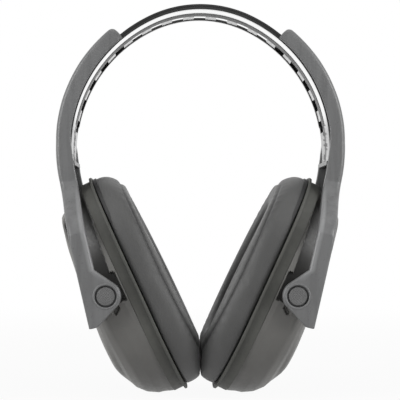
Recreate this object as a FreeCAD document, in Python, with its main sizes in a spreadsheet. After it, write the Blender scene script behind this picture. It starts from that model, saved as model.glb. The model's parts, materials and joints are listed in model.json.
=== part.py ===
import FreeCAD, Part
import math
import os

import Sketcher
from FreeCAD import Placement, Rotation, Vector

# Over-head hearing protection earmuffs, in millimetres.
# +Z is up, the wearer looks towards -Y and +X is the side called right.
# The origin is on the underside of the headband, at the middle of its crown.

SIZES = {
    # Headband strap: one crown arc and a flatter arc down each side.
    "strap_width": 36.0,
    "web_thick": 0.9,
    "crown_radius": 52.6,
    "crown_half_angle": 25.6,
    "side_radius": 66.5,
    "strap_end_angle": 97.0,
    "band_end_angle": 80.0,
    "rim_height": 2.5,
    "rim_thick": 1.8,
    "band_height": 0.2,
    "band_width": 9.0,
    "band_from_front": 13.0,
    "rail_height": 0.3,
    "rail_thick": 2.2,
    # Row of slots in the rear half of the strap.
    "slot_length": 5.6,
    "slot_width": 11.8,
    "slot_pitch": 10.8,
    # Stop block on each end of the strap.
    "stop_half_width": 8.0,
    "stop_height": 3.3,
    "stop_angle": 2.5,
    "stop_play": 0.5,
    # Arm: a channel open towards the head, which the strap slides in.
    "arm_inset": 0.9,
    "arm_depth": 8.1,
    "arm_web": 2.0,
    "arm_wall": 2.4,
    "arm_top_angle": 39.6,
    "strap_side_gap": 0.6,
    "strap_face_gap": 0.3,
    # Catch bar that holds the strap in the arm.
    "catch_angle": 4.0,
    "catch_thick": 1.8,
    # Fork: the arm's two straight legs, which lean inwards to the pivots.
    "leg_lean": 13.0,
    "leg_thick": 3.5,
    "leg_clearance": 1.0,
    "leg_spread_drop": 21.0,
    "leg_spread_thick": 5.0,
    "leg_relief": 0.3,
    "crotch_drop": 8.0,
    "pivot_drop": 55.3,
    "pivot_inset": 10.5,
    "lug_radius": 6.9,
    "lug_neck_rise": 12.7,
    "tip_drop": 11.9,
    "tip_width": 3.9,
    # Pivot pin: a knurled head in the leg's counterbore, a shank in the cup.
    "head_diameter": 8.6,
    "head_thick": 1.5,
    "head_recess": 0.2,
    "head_gap": 0.55,
    "head_floor_gap": 0.2,
    "shank_diameter": 5.0,
    "shank_length": 7.0,
    "run_clearance": 0.08,
    "seat_clearance": 0.3,
    # Cup: everything outboard of the flange plane, which leans at rest.
    "cup_tilt": 26.0,
    "pivot_height": 16.2,
    "flange_half_length": 54.0,
    "flange_half_width": 41.0,
    "flange_flat": 4.0,
    "lip_thick": 1.2,
    "lip_reach": 1.5,
    "ring_height": 6.2,
    "opening_half_length": 33.0,
    "opening_half_width": 22.0,
    "opening_flat": 3.0,
    "shell_wall": 2.5,
    "shell_height": 31.8,
    "shell_flat": 2.0,
    "boss_radius": 6.0,
    "boss_depth": 9.0,
    # The shell's outline at its foot, crease, shoulder and cap: how far each draws in
    # from the flange at the sides, and at the upper and the lower end.
    "foot_draw_side": 1.5,
    "foot_draw_top": 3.5,
    "foot_draw_bottom": -1.5,
    "crease_height": 21.0,
    "crease_draw_side": 2.5,
    "crease_draw_top": 11.8,
    "crease_draw_bottom": 3.2,
    "shoulder_height": 26.5,
    "shoulder_draw_side": 10.0,
    "shoulder_draw_top": 42.0,
    "shoulder_draw_bottom": 11.5,
    "cap_draw_side": 29.0,
    "cap_draw_bottom": 20.0,
    "cap_length": 22.0,
    # Acoustic liner, an open-cell foam pad.
    "liner_height": 7.0,
    "liner_base": 12.5,
    "liner_gap": 1.0,
    # Cushion: a leatherette skin over a foam ring, on a stiff snap plate.
    "cushion_thick": 12.0,
    "cushion_inset": 1.0,
    "cushion_opening_draw": 2.0,
    "skin_thick": 1.0,
    "soft_gap": 0.3,
    "plate_thick": 1.5,
    "meeting_gap": 0.2,
}

# How far a cutting tool runs past the faces that it opens.
OVERRUN = 1.0

# The slots run along the strap on both sides of one at the crown.
SLOTS_PER_SIDE = 8

# Widths and depths that several pieces share, as formulas of the sizes.
ARM_OUTSIDE = "( strap_width / 2 + strap_side_gap + arm_wall )"
ARM_INSIDE = "( strap_width / 2 + strap_side_gap )"
ARM_OUTER = "( side_radius - arm_inset + arm_depth )"
LEG_OUTSIDE = "( flange_half_width + leg_clearance + leg_thick )"
LEG_INSIDE = "( flange_half_width + leg_clearance )"
LEG_LENGTH = "( pivot_drop + tip_drop )"
HEAD_TOP = f"( {LEG_OUTSIDE} - head_recess )"

doc = FreeCAD.newDocument("Earmuffs")
sheet = doc.addObject("Spreadsheet::Sheet", "Sizes")
nodes = []


def fill_sheet():
    """One row for each driving size: its name and its value under that name."""
    for row, (name, value) in enumerate(SIZES.items(), 1):
        sheet.set(f"A{row}", name)
        sheet.set(f"B{row}", str(value))
        sheet.setAlias(f"B{row}", name)
    doc.recompute()


def formula(text):
    """Write a formula of size names as an expression on the sheet."""
    words = text.split()
    return " ".join(f"Sizes.{word}" if word in SIZES else word for word in words)


def minus(text):
    """The opposite of a formula."""
    return f"- ( {text} )"


def number(text):
    """The value of a formula of size names."""
    return float(sheet.evalExpression(formula(text)))


def bind(item, prop, text):
    """Tie one property of an object to a formula of size names."""
    item.setExpression(prop, formula(text))


def finish_node(item, label, placement):
    """Name a finished sub-part, put it in place and list it for export."""
    item.Label = label
    item.Placement = placement
    nodes.append(item)
    return item


# ---- building blocks ----

def new_sketch(body, role, name):
    """A sketch on one of the body's own origin planes."""
    sketch = body.newObject("Sketcher::SketchObject", name)
    plane = next(item for item in body.Origin.OriginFeatures if item.Role == role)
    sketch.AttachmentSupport = [(plane, "")]
    sketch.MapMode = "FlatFace"
    return sketch


def pin_point(sketch, edge, end, across, up):
    """Fix one end of a sketch edge at two formulas measured from the origin."""
    for kind, text in (("DistanceX", across), ("DistanceY", up)):
        index = sketch.addConstraint(Sketcher.Constraint(kind, -1, 1, edge, end, number(text)))
        bind(sketch, f"Constraints[{index}]", text)


def polygon(sketch, corners):
    """A closed straight-sided outline; each corner is a pair of formulas."""
    points = [Vector(number(across), number(up), 0) for across, up in corners]
    for start, end in zip(points, points[1:] + points[:1]):
        sketch.addGeometry(Part.LineSegment(start, end))
    for index, (across, up) in enumerate(corners):
        before = (index - 1) % len(corners)
        sketch.addConstraint(Sketcher.Constraint("Coincident", before, 2, index, 1))
        pin_point(sketch, index, 1, across, up)


def rounded_outline(sketch, half_width, bottom, top, corner):
    """A rounded rectangle about the upright axis, its four sides and corner radius as formulas."""
    wide, low, high, round_ = number(half_width), number(bottom), number(top), number(corner)
    corners = [(wide, low), (wide, high), (-wide, high), (-wide, low)]
    steps = [(0, 1), (-1, 0), (0, -1), (1, 0)]
    for index, (x, y) in enumerate(corners):
        step = steps[index]
        after = corners[(index + 1) % 4]
        start = Vector(x + step[0] * round_, y + step[1] * round_, 0)
        end = Vector(after[0] - step[0] * round_, after[1] - step[1] * round_, 0)
        sketch.addGeometry(Part.LineSegment(start, end))
    for index in range(4):
        quarter = math.pi / 2 * index
        centre_x = (wide - round_) * (1 if index in (0, 3) else -1)
        centre_y = high - round_ if index in (0, 1) else low + round_
        circle = Part.Circle(Vector(centre_x, centre_y, 0), Vector(0, 0, 1), round_)
        sketch.addGeometry(Part.ArcOfCircle(circle, quarter, quarter + math.pi / 2))
    for index in range(4):
        arc = 4 + index
        sketch.addConstraint(Sketcher.Constraint("Tangent", index, 2, arc, 1))
        sketch.addConstraint(Sketcher.Constraint("Tangent", arc, 2, (index + 1) % 4, 1))
        side = "Vertical" if index % 2 == 0 else "Horizontal"
        sketch.addConstraint(Sketcher.Constraint(side, index))
        if index:
            sketch.addConstraint(Sketcher.Constraint("Equal", 4, arc))
    limits = (("DistanceX", 0, half_width), ("DistanceY", 1, top),
              ("DistanceX", 2, minus(half_width)), ("DistanceY", 3, bottom))
    for kind, edge, text in limits:
        index = sketch.addConstraint(Sketcher.Constraint(kind, -1, 1, edge, 1, number(text)))
        bind(sketch, f"Constraints[{index}]", text)
    index = sketch.addConstraint(Sketcher.Constraint("Radius", 4, round_))
    bind(sketch, f"Constraints[{index}]", corner)


def ring_sector(name, section, sweep):
    """A section of (across, radius) corners, turned about the Y axis from straight up."""
    body = doc.addObject("PartDesign::Body", name)
    sketch = new_sketch(body, "YZ_Plane", f"{name}_section")
    polygon(sketch, section)
    turn = body.newObject("PartDesign::Revolution", f"{name}_turn")
    turn.Profile = sketch
    turn.ReferenceAxis = (sketch, ["H_Axis"])
    bind(turn, "Angle", sweep)
    return body


def rectangle_section(half_width, inner, outer):
    """The corners of a plain section, centred across, between two radii."""
    return [(minus(half_width), inner), (half_width, inner), (half_width, outer),
            (minus(half_width), outer)]


def plate(name, outline, base, height):
    """A rounded plate that stands on the YZ plane's side, from base outwards by height."""
    body = doc.addObject("PartDesign::Body", name)
    sketch = new_sketch(body, "YZ_Plane", f"{name}_outline")
    rounded_outline(sketch, *outline)
    bind(sketch, "AttachmentOffset.Base.z", base)
    pad = body.newObject("PartDesign::Pad", f"{name}_pad")
    pad.Profile = sketch
    bind(pad, "Length", height)
    return body


def loft(name, layers):
    """A solid through rounded outlines, each at its own height along X."""
    body = doc.addObject("PartDesign::Body", name)
    sketches = []
    for index, (height, outline) in enumerate(layers):
        sketch = new_sketch(body, "YZ_Plane", f"{name}_layer_{index}")
        rounded_outline(sketch, *outline)
        bind(sketch, "AttachmentOffset.Base.z", height)
        sketches.append(sketch)
    skin = body.newObject("PartDesign::AdditiveLoft", f"{name}_loft")
    skin.Profile = sketches[0]
    skin.Sections = sketches[1:]
    skin.Ruled = True
    return body


def cylinder(name, radius, height, placement):
    """A round bar from a placement's origin along its Z axis."""
    item = doc.addObject("Part::Cylinder", name)
    bind(item, "Radius", radius)
    bind(item, "Height", height)
    item.Placement = placement
    return item


def join(name, pieces):
    """One solid from several that touch or overlap."""
    item = doc.addObject("Part::MultiFuse", name)
    item.Shapes = pieces
    return item


def cut(name, base, tools):
    """A solid with one tool, or several joined, taken out of it."""
    tool = tools[0]
    if len(tools) > 1:
        tool = join(f"{name}_tools", tools)
    item = doc.addObject("Part::Cut", name)
    item.Base = base
    item.Tool = tool
    return item


def common(name, first, second):
    """What two solids share."""
    item = doc.addObject("Part::Common", name)
    item.Base = first
    item.Tool = second
    return item


# ---- places, worked out from the sizes ----

def tilt(angle):
    """A turn about Y that carries straight up towards +X."""
    return Rotation(Vector(0, 1, 0), angle)


def crown_centre():
    return Vector(0, 0, -SIZES["crown_radius"])


def side_centre(side):
    """The centre of a side arc, which meets the crown arc without a kink."""
    reach = SIZES["crown_radius"] - SIZES["side_radius"]
    angle = math.radians(SIZES["crown_half_angle"])
    return crown_centre() + Vector(side * reach * math.sin(angle), 0, reach * math.cos(angle))


def half_turn(side):
    """The right half stands as drawn, the left half is turned round to face it."""
    return Placement(Vector(), Rotation(Vector(0, 0, 1), 0 if side > 0 else 180))


def arc_place(side, angle):
    """Where a sector about the side centre starts, at an angle from straight up."""
    return half_turn(side) * Placement(side_centre(1), tilt(angle))


def leg_place():
    """The arm's outer face where its arc ends: Z runs up the leg, X outwards."""
    end = tilt(90 + SIZES["leg_lean"]).multVec(Vector(0, 0, number(ARM_OUTER)))
    return Placement(side_centre(1) + end, tilt(SIZES["leg_lean"]))


def pivot_point():
    """Where the pivot axis crosses the middle of the right cup."""
    return leg_place().multVec(Vector(-SIZES["pivot_inset"], 0, -SIZES["pivot_drop"]))


def cup_place(side):
    """The flange plane at the pivots' level: X runs outwards, Z up along the plane."""
    turn = tilt(SIZES["cup_tilt"])
    base = pivot_point() - turn.multVec(Vector(SIZES["pivot_height"], 0, 0))
    return half_turn(side) * Placement(base, turn)


def strap_place(along):
    """The strap's underside at a distance along it from the crown: Z is square to it."""
    side = 1 if along >= 0 else -1
    crown_angle = math.degrees(abs(along) / SIZES["crown_radius"])
    if crown_angle <= SIZES["crown_half_angle"]:
        turn = tilt(side * crown_angle)
        return Placement(crown_centre() + turn.multVec(Vector(0, 0, SIZES["crown_radius"])), turn)
    crown_reach = math.radians(SIZES["crown_half_angle"]) * SIZES["crown_radius"]
    past = math.degrees((abs(along) - crown_reach) / SIZES["side_radius"])
    turn = tilt(side * (SIZES["crown_half_angle"] + past))
    return Placement(side_centre(side) + turn.multVec(Vector(0, 0, SIZES["side_radius"])), turn)


# ---- headband ----

def strap_section(radius, banded):
    """The strap's section: a web with a rim in front and, where banded, a middle band and a rear rail."""
    half = "strap_width / 2"
    top = f"{radius} + web_thick"
    corners = [(f"- {half}", radius), (f"- {half}", f"{radius} + rim_height"),
               (f"rim_thick - {half}", f"{radius} + rim_height"), (f"rim_thick - {half}", top),
               (half, top)]
    if not banded:
        return corners + [(half, radius)]
    band_front = f"band_from_front - {half}"
    band_low = f"{radius} - band_height"
    rail_front = f"{half} - rail_thick"
    rail_low = f"{radius} - rail_height"
    return corners + [(half, rail_low), (rail_front, rail_low), (rail_front, radius),
                      (f"{band_front} + band_width", radius), (f"{band_front} + band_width", band_low),
                      (band_front, band_low), (band_front, radius)]


def strap_slots():
    """Boxes through the web, spaced evenly along the strap from its crown."""
    slots = []
    for index in range(-SLOTS_PER_SIDE, SLOTS_PER_SIDE + 1):
        box = doc.addObject("Part::Box", f"slot_{index + SLOTS_PER_SIDE}")
        bind(box, "Length", "slot_length")
        bind(box, "Width", "slot_width")
        bind(box, "Height", "3 * web_thick")
        rear = SIZES["strap_width"] / 2 - SIZES["rail_thick"] - SIZES["slot_width"]
        corner = Vector(-SIZES["slot_length"] / 2, rear, -SIZES["web_thick"])
        box.Placement = strap_place(index * SIZES["slot_pitch"]) * Placement(corner, Rotation())
        slots.append(box)
    return slots


def make_strap():
    """The headband strap: five arcs of one section, with the slots cut through."""
    crown = ring_sector("strap_crown", strap_section("crown_radius", True), "2 * crown_half_angle")
    crown.Placement = Placement(crown_centre(), tilt(-SIZES["crown_half_angle"]))
    arcs = [crown]
    spans = (("side", True, "crown_half_angle", "band_end_angle"),
             ("end", False, "band_end_angle", "strap_end_angle"))
    for side, word in ((1, "right"), (-1, "left")):
        for part, banded, start, stop in spans:
            arc = ring_sector(f"strap_{word}_{part}", strap_section("side_radius", banded),
                              f"{stop} - {start}")
            first = SIZES[start] if side > 0 else -SIZES[stop]
            arc.Placement = Placement(side_centre(side), tilt(first))
            arcs.append(arc)
    strap = cut("strap_slotted", join("strap_arcs", arcs), strap_slots())
    finish_node(strap, "headband_strap", Placement())


def make_strap_stop(side, word):
    """A block on the outer face of the strap's end, which the arm's stop rib meets."""
    inner = "side_radius + web_thick"
    section = rectangle_section("stop_half_width", inner, f"{inner} + stop_height")
    stop = ring_sector(f"{word}_stop", section, "stop_angle")
    finish_node(stop, f"{word}_strap_stop",
                arc_place(side, SIZES["strap_end_angle"] - SIZES["stop_angle"]))


# ---- arms ----

def arm_channel(word):
    """The arm's arc: a back web and two side walls, open towards the head."""
    inner = "side_radius - arm_inset"
    floor = f"{ARM_OUTER} - arm_web"
    section = [(minus(ARM_INSIDE), inner), (minus(ARM_INSIDE), floor), (ARM_INSIDE, floor),
               (ARM_INSIDE, inner), (ARM_OUTSIDE, inner), (ARM_OUTSIDE, ARM_OUTER),
               (minus(ARM_OUTSIDE), ARM_OUTER), (minus(ARM_OUTSIDE), inner)]
    channel = ring_sector(f"{word}_channel", section, "90 + leg_lean - arm_top_angle")
    channel.Placement = Placement(side_centre(1), tilt(SIZES["arm_top_angle"]))
    return channel


def arm_stop_rib(word):
    """A rib inside the arm's web, just above the strap's stop block."""
    low = "side_radius + rim_height + strap_face_gap"
    section = rectangle_section("stop_half_width", low, f"{ARM_OUTER} - arm_web")
    rib = ring_sector(f"{word}_stop_rib", section, "stop_angle")
    start = SIZES["strap_end_angle"] - 2 * SIZES["stop_angle"] - SIZES["stop_play"]
    rib.Placement = Placement(side_centre(1), tilt(start))
    return rib


def leg_side(word):
    """The legs from the side: a straight bar whose foot swells inwards round the pivot."""
    body = doc.addObject("PartDesign::Body", f"{word}_leg_side")
    sketch = new_sketch(body, "XZ_Plane", f"{word}_leg_side_outline")
    radius = SIZES["lug_radius"]
    centre = Vector(-SIZES["pivot_inset"], -SIZES["pivot_drop"], 0)
    neck = Vector(-SIZES["arm_depth"], SIZES["lug_neck_rise"] - SIZES["pivot_drop"], 0)
    tip = Vector(-SIZES["tip_width"], -number(LEG_LENGTH), 0)
    upper = tangent_angle(centre, radius, neck, 1)
    lower = tangent_angle(centre, radius, tip, -1)
    touch_upper = centre + Vector(math.cos(upper), math.sin(upper), 0) * radius
    touch_lower = centre + Vector(math.cos(lower), math.sin(lower), 0) * radius
    points = [touch_lower, tip, Vector(0, tip.y, 0), Vector(0, 0, 0), Vector(neck.x, 0, 0), neck,
              touch_upper]
    for start, end in zip(points, points[1:]):
        sketch.addGeometry(Part.LineSegment(start, end))
    arc = sketch.addGeometry(Part.ArcOfCircle(Part.Circle(centre, Vector(0, 0, 1), radius), upper,
                                              lower + (2 * math.pi if lower < upper else 0)))
    last = len(points) - 2
    for index in range(last):
        sketch.addConstraint(Sketcher.Constraint("Coincident", index, 2, index + 1, 1))
    sketch.addConstraint(Sketcher.Constraint("Tangent", last, 2, arc, 1))
    sketch.addConstraint(Sketcher.Constraint("Tangent", arc, 2, 0, 1))
    pin_point(sketch, 0, 2, "- tip_width", minus(LEG_LENGTH))
    pin_point(sketch, 1, 2, "0", minus(LEG_LENGTH))
    pin_point(sketch, 2, 2, "0", "0")
    pin_point(sketch, 3, 2, "- arm_depth", "0")
    pin_point(sketch, 4, 2, "- arm_depth", "lug_neck_rise - pivot_drop")
    pin_point(sketch, arc, 3, "- pivot_inset", "- pivot_drop")
    index = sketch.addConstraint(Sketcher.Constraint("Radius", arc, radius))
    bind(sketch, f"Constraints[{index}]", "lug_radius")
    pad = body.newObject("PartDesign::Pad", f"{word}_leg_side_pad")
    pad.Profile = sketch
    pad.Midplane = True
    bind(pad, "Length", f"2 * {LEG_OUTSIDE}")
    return body


def tangent_angle(centre, radius, point, hand):
    """The angle on a circle where a line from an outside point touches it."""
    away = point - centre
    return math.atan2(away.y, away.x) + hand * math.acos(radius / away.Length)


def leg_front(word):
    """The legs from outside: they spread round the cup's top and run straight to the feet."""
    right = [(ARM_INSIDE, "- crotch_drop"), (LEG_INSIDE, "- leg_spread_drop - leg_spread_thick"),
             (LEG_INSIDE, minus(LEG_LENGTH)), (LEG_OUTSIDE, minus(LEG_LENGTH)),
             (LEG_OUTSIDE, "- leg_spread_drop"), (ARM_OUTSIDE, "0")]
    left = [(minus(across), up) for across, up in reversed(right)]
    body = doc.addObject("PartDesign::Body", f"{word}_leg_front")
    sketch = new_sketch(body, "YZ_Plane", f"{word}_leg_front_outline")
    polygon(sketch, right + left)
    pad = body.newObject("PartDesign::Pad", f"{word}_leg_front_pad")
    pad.Profile = sketch
    pad.Reversed = True
    bind(pad, "Length", "arm_depth + pivot_inset + lug_radius")
    return body


def leg_bores(word):
    """In each foot, a running bore for the shank and a counterbore for the pin's head."""
    tools = []
    for hand in (1, -1):
        out = Placement(Vector(-SIZES["pivot_inset"], 0, -SIZES["pivot_drop"]),
                        Rotation(Vector(1, 0, 0), -90 * hand))
        name = f"{word}_bore_{'rear' if hand > 0 else 'front'}"
        bore = cylinder(name, "shank_diameter / 2 + run_clearance", LEG_OUTSIDE, out)
        step = number(f"{HEAD_TOP} - head_thick - head_floor_gap")
        deep = out * Placement(Vector(0, 0, step), Rotation())
        tools += [bore, cylinder(f"{name}_step", "head_diameter / 2 + head_gap", "leg_thick", deep)]
    return tools


def strap_pocket(word):
    """Room between the legs' roots for the end of the strap."""
    box = doc.addObject("Part::Box", f"{word}_strap_pocket")
    bind(box, "Length", "arm_depth")
    bind(box, "Width", "strap_width + 2 * strap_side_gap")
    bind(box, "Height", "2 * crotch_drop")
    corner = Vector(-SIZES["arm_web"] - SIZES["arm_depth"], -number(ARM_INSIDE),
                    -1.1 * SIZES["crotch_drop"])
    box.Placement = Placement(corner, Rotation())
    return box


def make_arm(side, word):
    """One moulded arm: the channel, its stop rib and the fork, less the bores and the clearances."""
    fork = common(f"{word}_fork_form", leg_side(word), leg_front(word))
    fork = cut(f"{word}_fork", fork, [strap_pocket(word)] + leg_bores(word))
    fork.Placement = leg_place()
    whole = join(f"{word}_arm_form", [arm_channel(word), arm_stop_rib(word), fork])
    seat = ring_sector(f"{word}_catch_seat", catch_section(), "catch_angle")
    seat.Placement = Placement(side_centre(1), tilt(catch_start()))
    grown = shell_layers("( 0 - leg_relief )", "ring_height", "shell_height")
    relief = loft(f"{word}_cup_relief", grown)
    relief.Placement = cup_place(1)
    arm = cut(f"{word}_arm_seated", whole, [seat, relief])
    finish_node(arm, f"{word}_arm", half_turn(side))


def catch_section():
    """The catch bar's section: as wide as the arm, just clear of the strap's underside."""
    outer = "side_radius - strap_face_gap"
    return rectangle_section(ARM_OUTSIDE, f"{outer} - catch_thick", outer)


def catch_start():
    """The catch covers the last stretch of the extended strap."""
    return SIZES["strap_end_angle"] - SIZES["catch_angle"]


def make_catch(side, word):
    """The bar across the arm's open side that the strap slides under."""
    catch = ring_sector(f"{word}_catch", catch_section(), "catch_angle")
    finish_node(catch, f"{word}_strap_catch", arc_place(side, catch_start()))


def make_pin(side, word, hand):
    """A pivot pin: its head sits in the leg's counterbore and its shank in the cup's boss."""
    place = "rear" if hand * side > 0 else "front"
    name = f"{word}_{place}_pin"
    out = Placement(Vector(SIZES["pivot_height"], 0, 0), Rotation(Vector(1, 0, 0), -90 * hand))
    head_base = number(f"{HEAD_TOP} - head_thick")
    head_place = out * Placement(Vector(0, 0, head_base), Rotation())
    head = cylinder(f"{name}_head", "head_diameter / 2", "head_thick", head_place)
    shank_place = out * Placement(Vector(0, 0, head_base - SIZES["shank_length"]), Rotation())
    shank = cylinder(f"{name}_shank", "shank_diameter / 2", "shank_length", shank_place)
    finish_node(join(f"{name}_form", [head, shank]), f"{word}_{place}_pivot_pin", cup_place(side))


# ---- cups ----

def flange_outline(less="0"):
    """The flange's plan, drawn in all round by a formula."""
    length = f"( flange_half_length - {less} )"
    side = f"( flange_half_width - {less} )"
    return side, minus(length), length, f"{side} - flange_flat"


def opening_outline(more="0"):
    """The ear opening's plan, drawn out all round by a formula."""
    length = f"( opening_half_length + {more} )"
    side = f"( opening_half_width + {more} )"
    return side, minus(length), length, f"{side} - opening_flat"


def make_base_ring(side, word):
    """The base ring: a thin lip by the cushion, a taller ring behind it and the ear opening."""
    lip = plate(f"{word}_lip", flange_outline(), "0", "lip_thick")
    ring = plate(f"{word}_ring", flange_outline("lip_reach"), "0", "ring_height")
    hole = plate(f"{word}_ring_hole", opening_outline(), "- lip_thick", "ring_height + 2 * lip_thick")
    ring = cut(f"{word}_base_ring_form", join(f"{word}_ring_form", [lip, ring]), [hole])
    finish_node(ring, f"{word}_base_ring", cup_place(side))


def shell_outline(level, less, draw_top, flat):
    """The shell's outline at a named level, drawn in by a wall, as round as its flats let it be."""
    side = f"( flange_half_width - {level}_draw_side - {less} )"
    top = f"( flange_half_length - {draw_top} - {less} )"
    bottom = f"( flange_half_length - {level}_draw_bottom - {less} )"
    corner = f"min( {side} ; ( {top} + {bottom} ) / 2 ) - {flat}"
    return side, minus(bottom), top, corner


def shell_layers(less, base, height):
    """The shell's layers from the base ring out to its cap, drawn in by a wall."""
    cap_draw_top = "( 2 * flange_half_length - cap_draw_bottom - cap_length )"
    return [(base, shell_outline("foot", less, "foot_draw_top", "shell_flat")),
            (f"crease_height - {less} / 2",
             shell_outline("crease", less, "crease_draw_top", "shell_flat")),
            (f"shoulder_height - {less}",
             shell_outline("shoulder", less, "shoulder_draw_top", "2 * shell_flat")),
            (height, shell_outline("cap", f"( {less} / 2 )", cap_draw_top, "2 * shell_flat"))]


def boss(word, name, radius, depth, hand, end):
    """A round bar inwards from just short of the leg's inner face, on the pivot axis."""
    out = Placement(Vector(SIZES["pivot_height"], 0, 0), Rotation(Vector(1, 0, 0), -90 * hand))
    place = out * Placement(Vector(0, 0, end - number(depth)), Rotation())
    return cylinder(f"{word}_{name}_{'a' if hand > 0 else 'b'}", radius, depth, place)


def make_shell(side, word):
    """The hollow cup shell, with a boss on each side that holds a pivot pin."""
    outer = loft(f"{word}_shell_outer", shell_layers("0", "ring_height", "shell_height"))
    inner = loft(f"{word}_shell_inner", shell_layers("shell_wall", f"ring_height - {OVERRUN}",
                                                     "shell_height - shell_wall"))
    seat = number(f"{LEG_INSIDE} - seat_clearance")
    top = number(f"{HEAD_TOP} - head_thick")
    hands = (1, -1)
    bosses = [boss(word, "boss", "boss_radius", "boss_depth", hand, seat) for hand in hands]
    holes = [boss(word, "boss_hole", "shank_diameter / 2", "shank_length", hand, top)
             for hand in hands]
    hollow = cut(f"{word}_shell_hollow", outer, [inner])
    solid = join(f"{word}_shell_bossed", [hollow] + bosses)
    finish_node(cut(f"{word}_shell_form", solid, holes), f"{word}_cup_shell", cup_place(side))


def make_liner(side, word):
    """The acoustic liner: a foam pad across the cup, between the bosses and behind the ear space."""
    side_draw = "( flange_half_width - lip_reach - boss_depth - liner_gap )"
    end_draw = "( shell_wall + 3 * liner_gap )"
    outline = (side_draw, f"{end_draw} + crease_draw_bottom - flange_half_length",
               f"flange_half_length - crease_draw_top - {end_draw}", f"{side_draw} - 2 * shell_flat")
    liner = plate(f"{word}_liner", outline, "liner_base", "liner_height")
    finish_node(liner, f"{word}_acoustic_liner", cup_place(side))


def near_side(name, side_gap, place):
    """A block over this side of the middle plane, stopping short of it by a gap."""
    block = doc.addObject("Part::Box", name)
    bind(block, "Length", "3 * flange_half_width")
    bind(block, "Width", "3 * flange_half_width")
    bind(block, "Height", "4 * flange_half_length")
    low = cup_place(1).Base.z - 2 * SIZES["flange_half_length"]
    corner = Vector(side_gap, -1.5 * SIZES["flange_half_width"], low)
    block.Placement = place.inverse() * Placement(corner, Rotation())
    return block


def cushion_outline(less="0"):
    """The cushion's plan, inside the flange's, drawn in all round by a formula."""
    return flange_outline(f"( cushion_inset + {less} )")


def cushion_ring(name, inset, front, back, side_gap):
    """A ring of the cushion's plan between two depths, trimmed where the cushions meet."""
    height = f"( {front} ) - ( {back} )"
    outer = plate(f"{name}_outer", cushion_outline(inset), f"- ( {front} )", height)
    inner = plate(f"{name}_inner", opening_outline(f"( {inset} - cushion_opening_draw )"),
                  f"- ( {front} ) - {OVERRUN}", f"{height} + 2 * {OVERRUN}")
    ring = cut(f"{name}_ring", outer, [inner])
    return common(f"{name}_trimmed", ring, near_side(f"{name}_limit", side_gap, cup_place(1)))


def make_cushion(side, word):
    """The cushion: its skin, open at the back, the foam inside and the snap plate behind."""
    meeting = SIZES["meeting_gap"]
    inside = meeting + SIZES["skin_thick"]
    cover = cushion_ring(f"{word}_cover", "0", "cushion_thick", "soft_gap", meeting)
    room = cushion_ring(f"{word}_room", "skin_thick", "cushion_thick - skin_thick", "0 - soft_gap",
                        inside)
    skin = cut(f"{word}_skin", cover, [room])
    finish_node(skin, f"{word}_cushion_skin", cup_place(side))
    foam = cushion_ring(f"{word}_foam", "( skin_thick + soft_gap )",
                        "cushion_thick - skin_thick - soft_gap", "plate_thick + 2 * soft_gap",
                        inside + SIZES["soft_gap"])
    finish_node(foam, f"{word}_cushion_foam", cup_place(side))
    disc = plate(f"{word}_disc", cushion_outline("( skin_thick + soft_gap )"), "- plate_thick",
                 "plate_thick")
    around = opening_outline("( skin_thick + soft_gap - cushion_opening_draw )")
    hole = plate(f"{word}_disc_hole", around, "- 2 * plate_thick", "3 * plate_thick")
    finish_node(cut(f"{word}_plate", disc, [hole]), f"{word}_snap_plate", cup_place(side))


# ---- the whole object ----

def check_document():
    """Stop on any failed object and on any sub-part that isn't one valid solid."""
    for item in doc.Objects:
        if "Invalid" in item.State or "Error" in item.State:
            raise RuntimeError(f"{item.Name} failed: {item.State}")
    for item in nodes:
        shape = item.Shape
        if shape.isNull() or not shape.isValid() or len(shape.Solids) != 1:
            raise RuntimeError(f"{item.Label}: {len(shape.Solids)} solids, valid {shape.isValid()}")


def export_nodes():
    """Write each sub-part to its own file."""
    os.makedirs("parts", exist_ok=True)
    for item in nodes:
        item.Shape.exportStep(f"parts/{item.Label}.step")
        print(f"{item.Label:26s} {item.Shape.Volume:10.1f} mm3")


def main():
    fill_sheet()
    make_strap()
    for side, word in ((-1, "left"), (1, "right")):
        make_strap_stop(side, word)
        make_arm(side, word)
        make_catch(side, word)
        make_base_ring(side, word)
        make_shell(side, word)
        make_liner(side, word)
        make_cushion(side, word)
        for hand in (-1, 1):
            make_pin(side, word, hand)
    doc.recompute()
    check_document()
    export_nodes()


main()
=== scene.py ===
import json
import math

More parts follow.
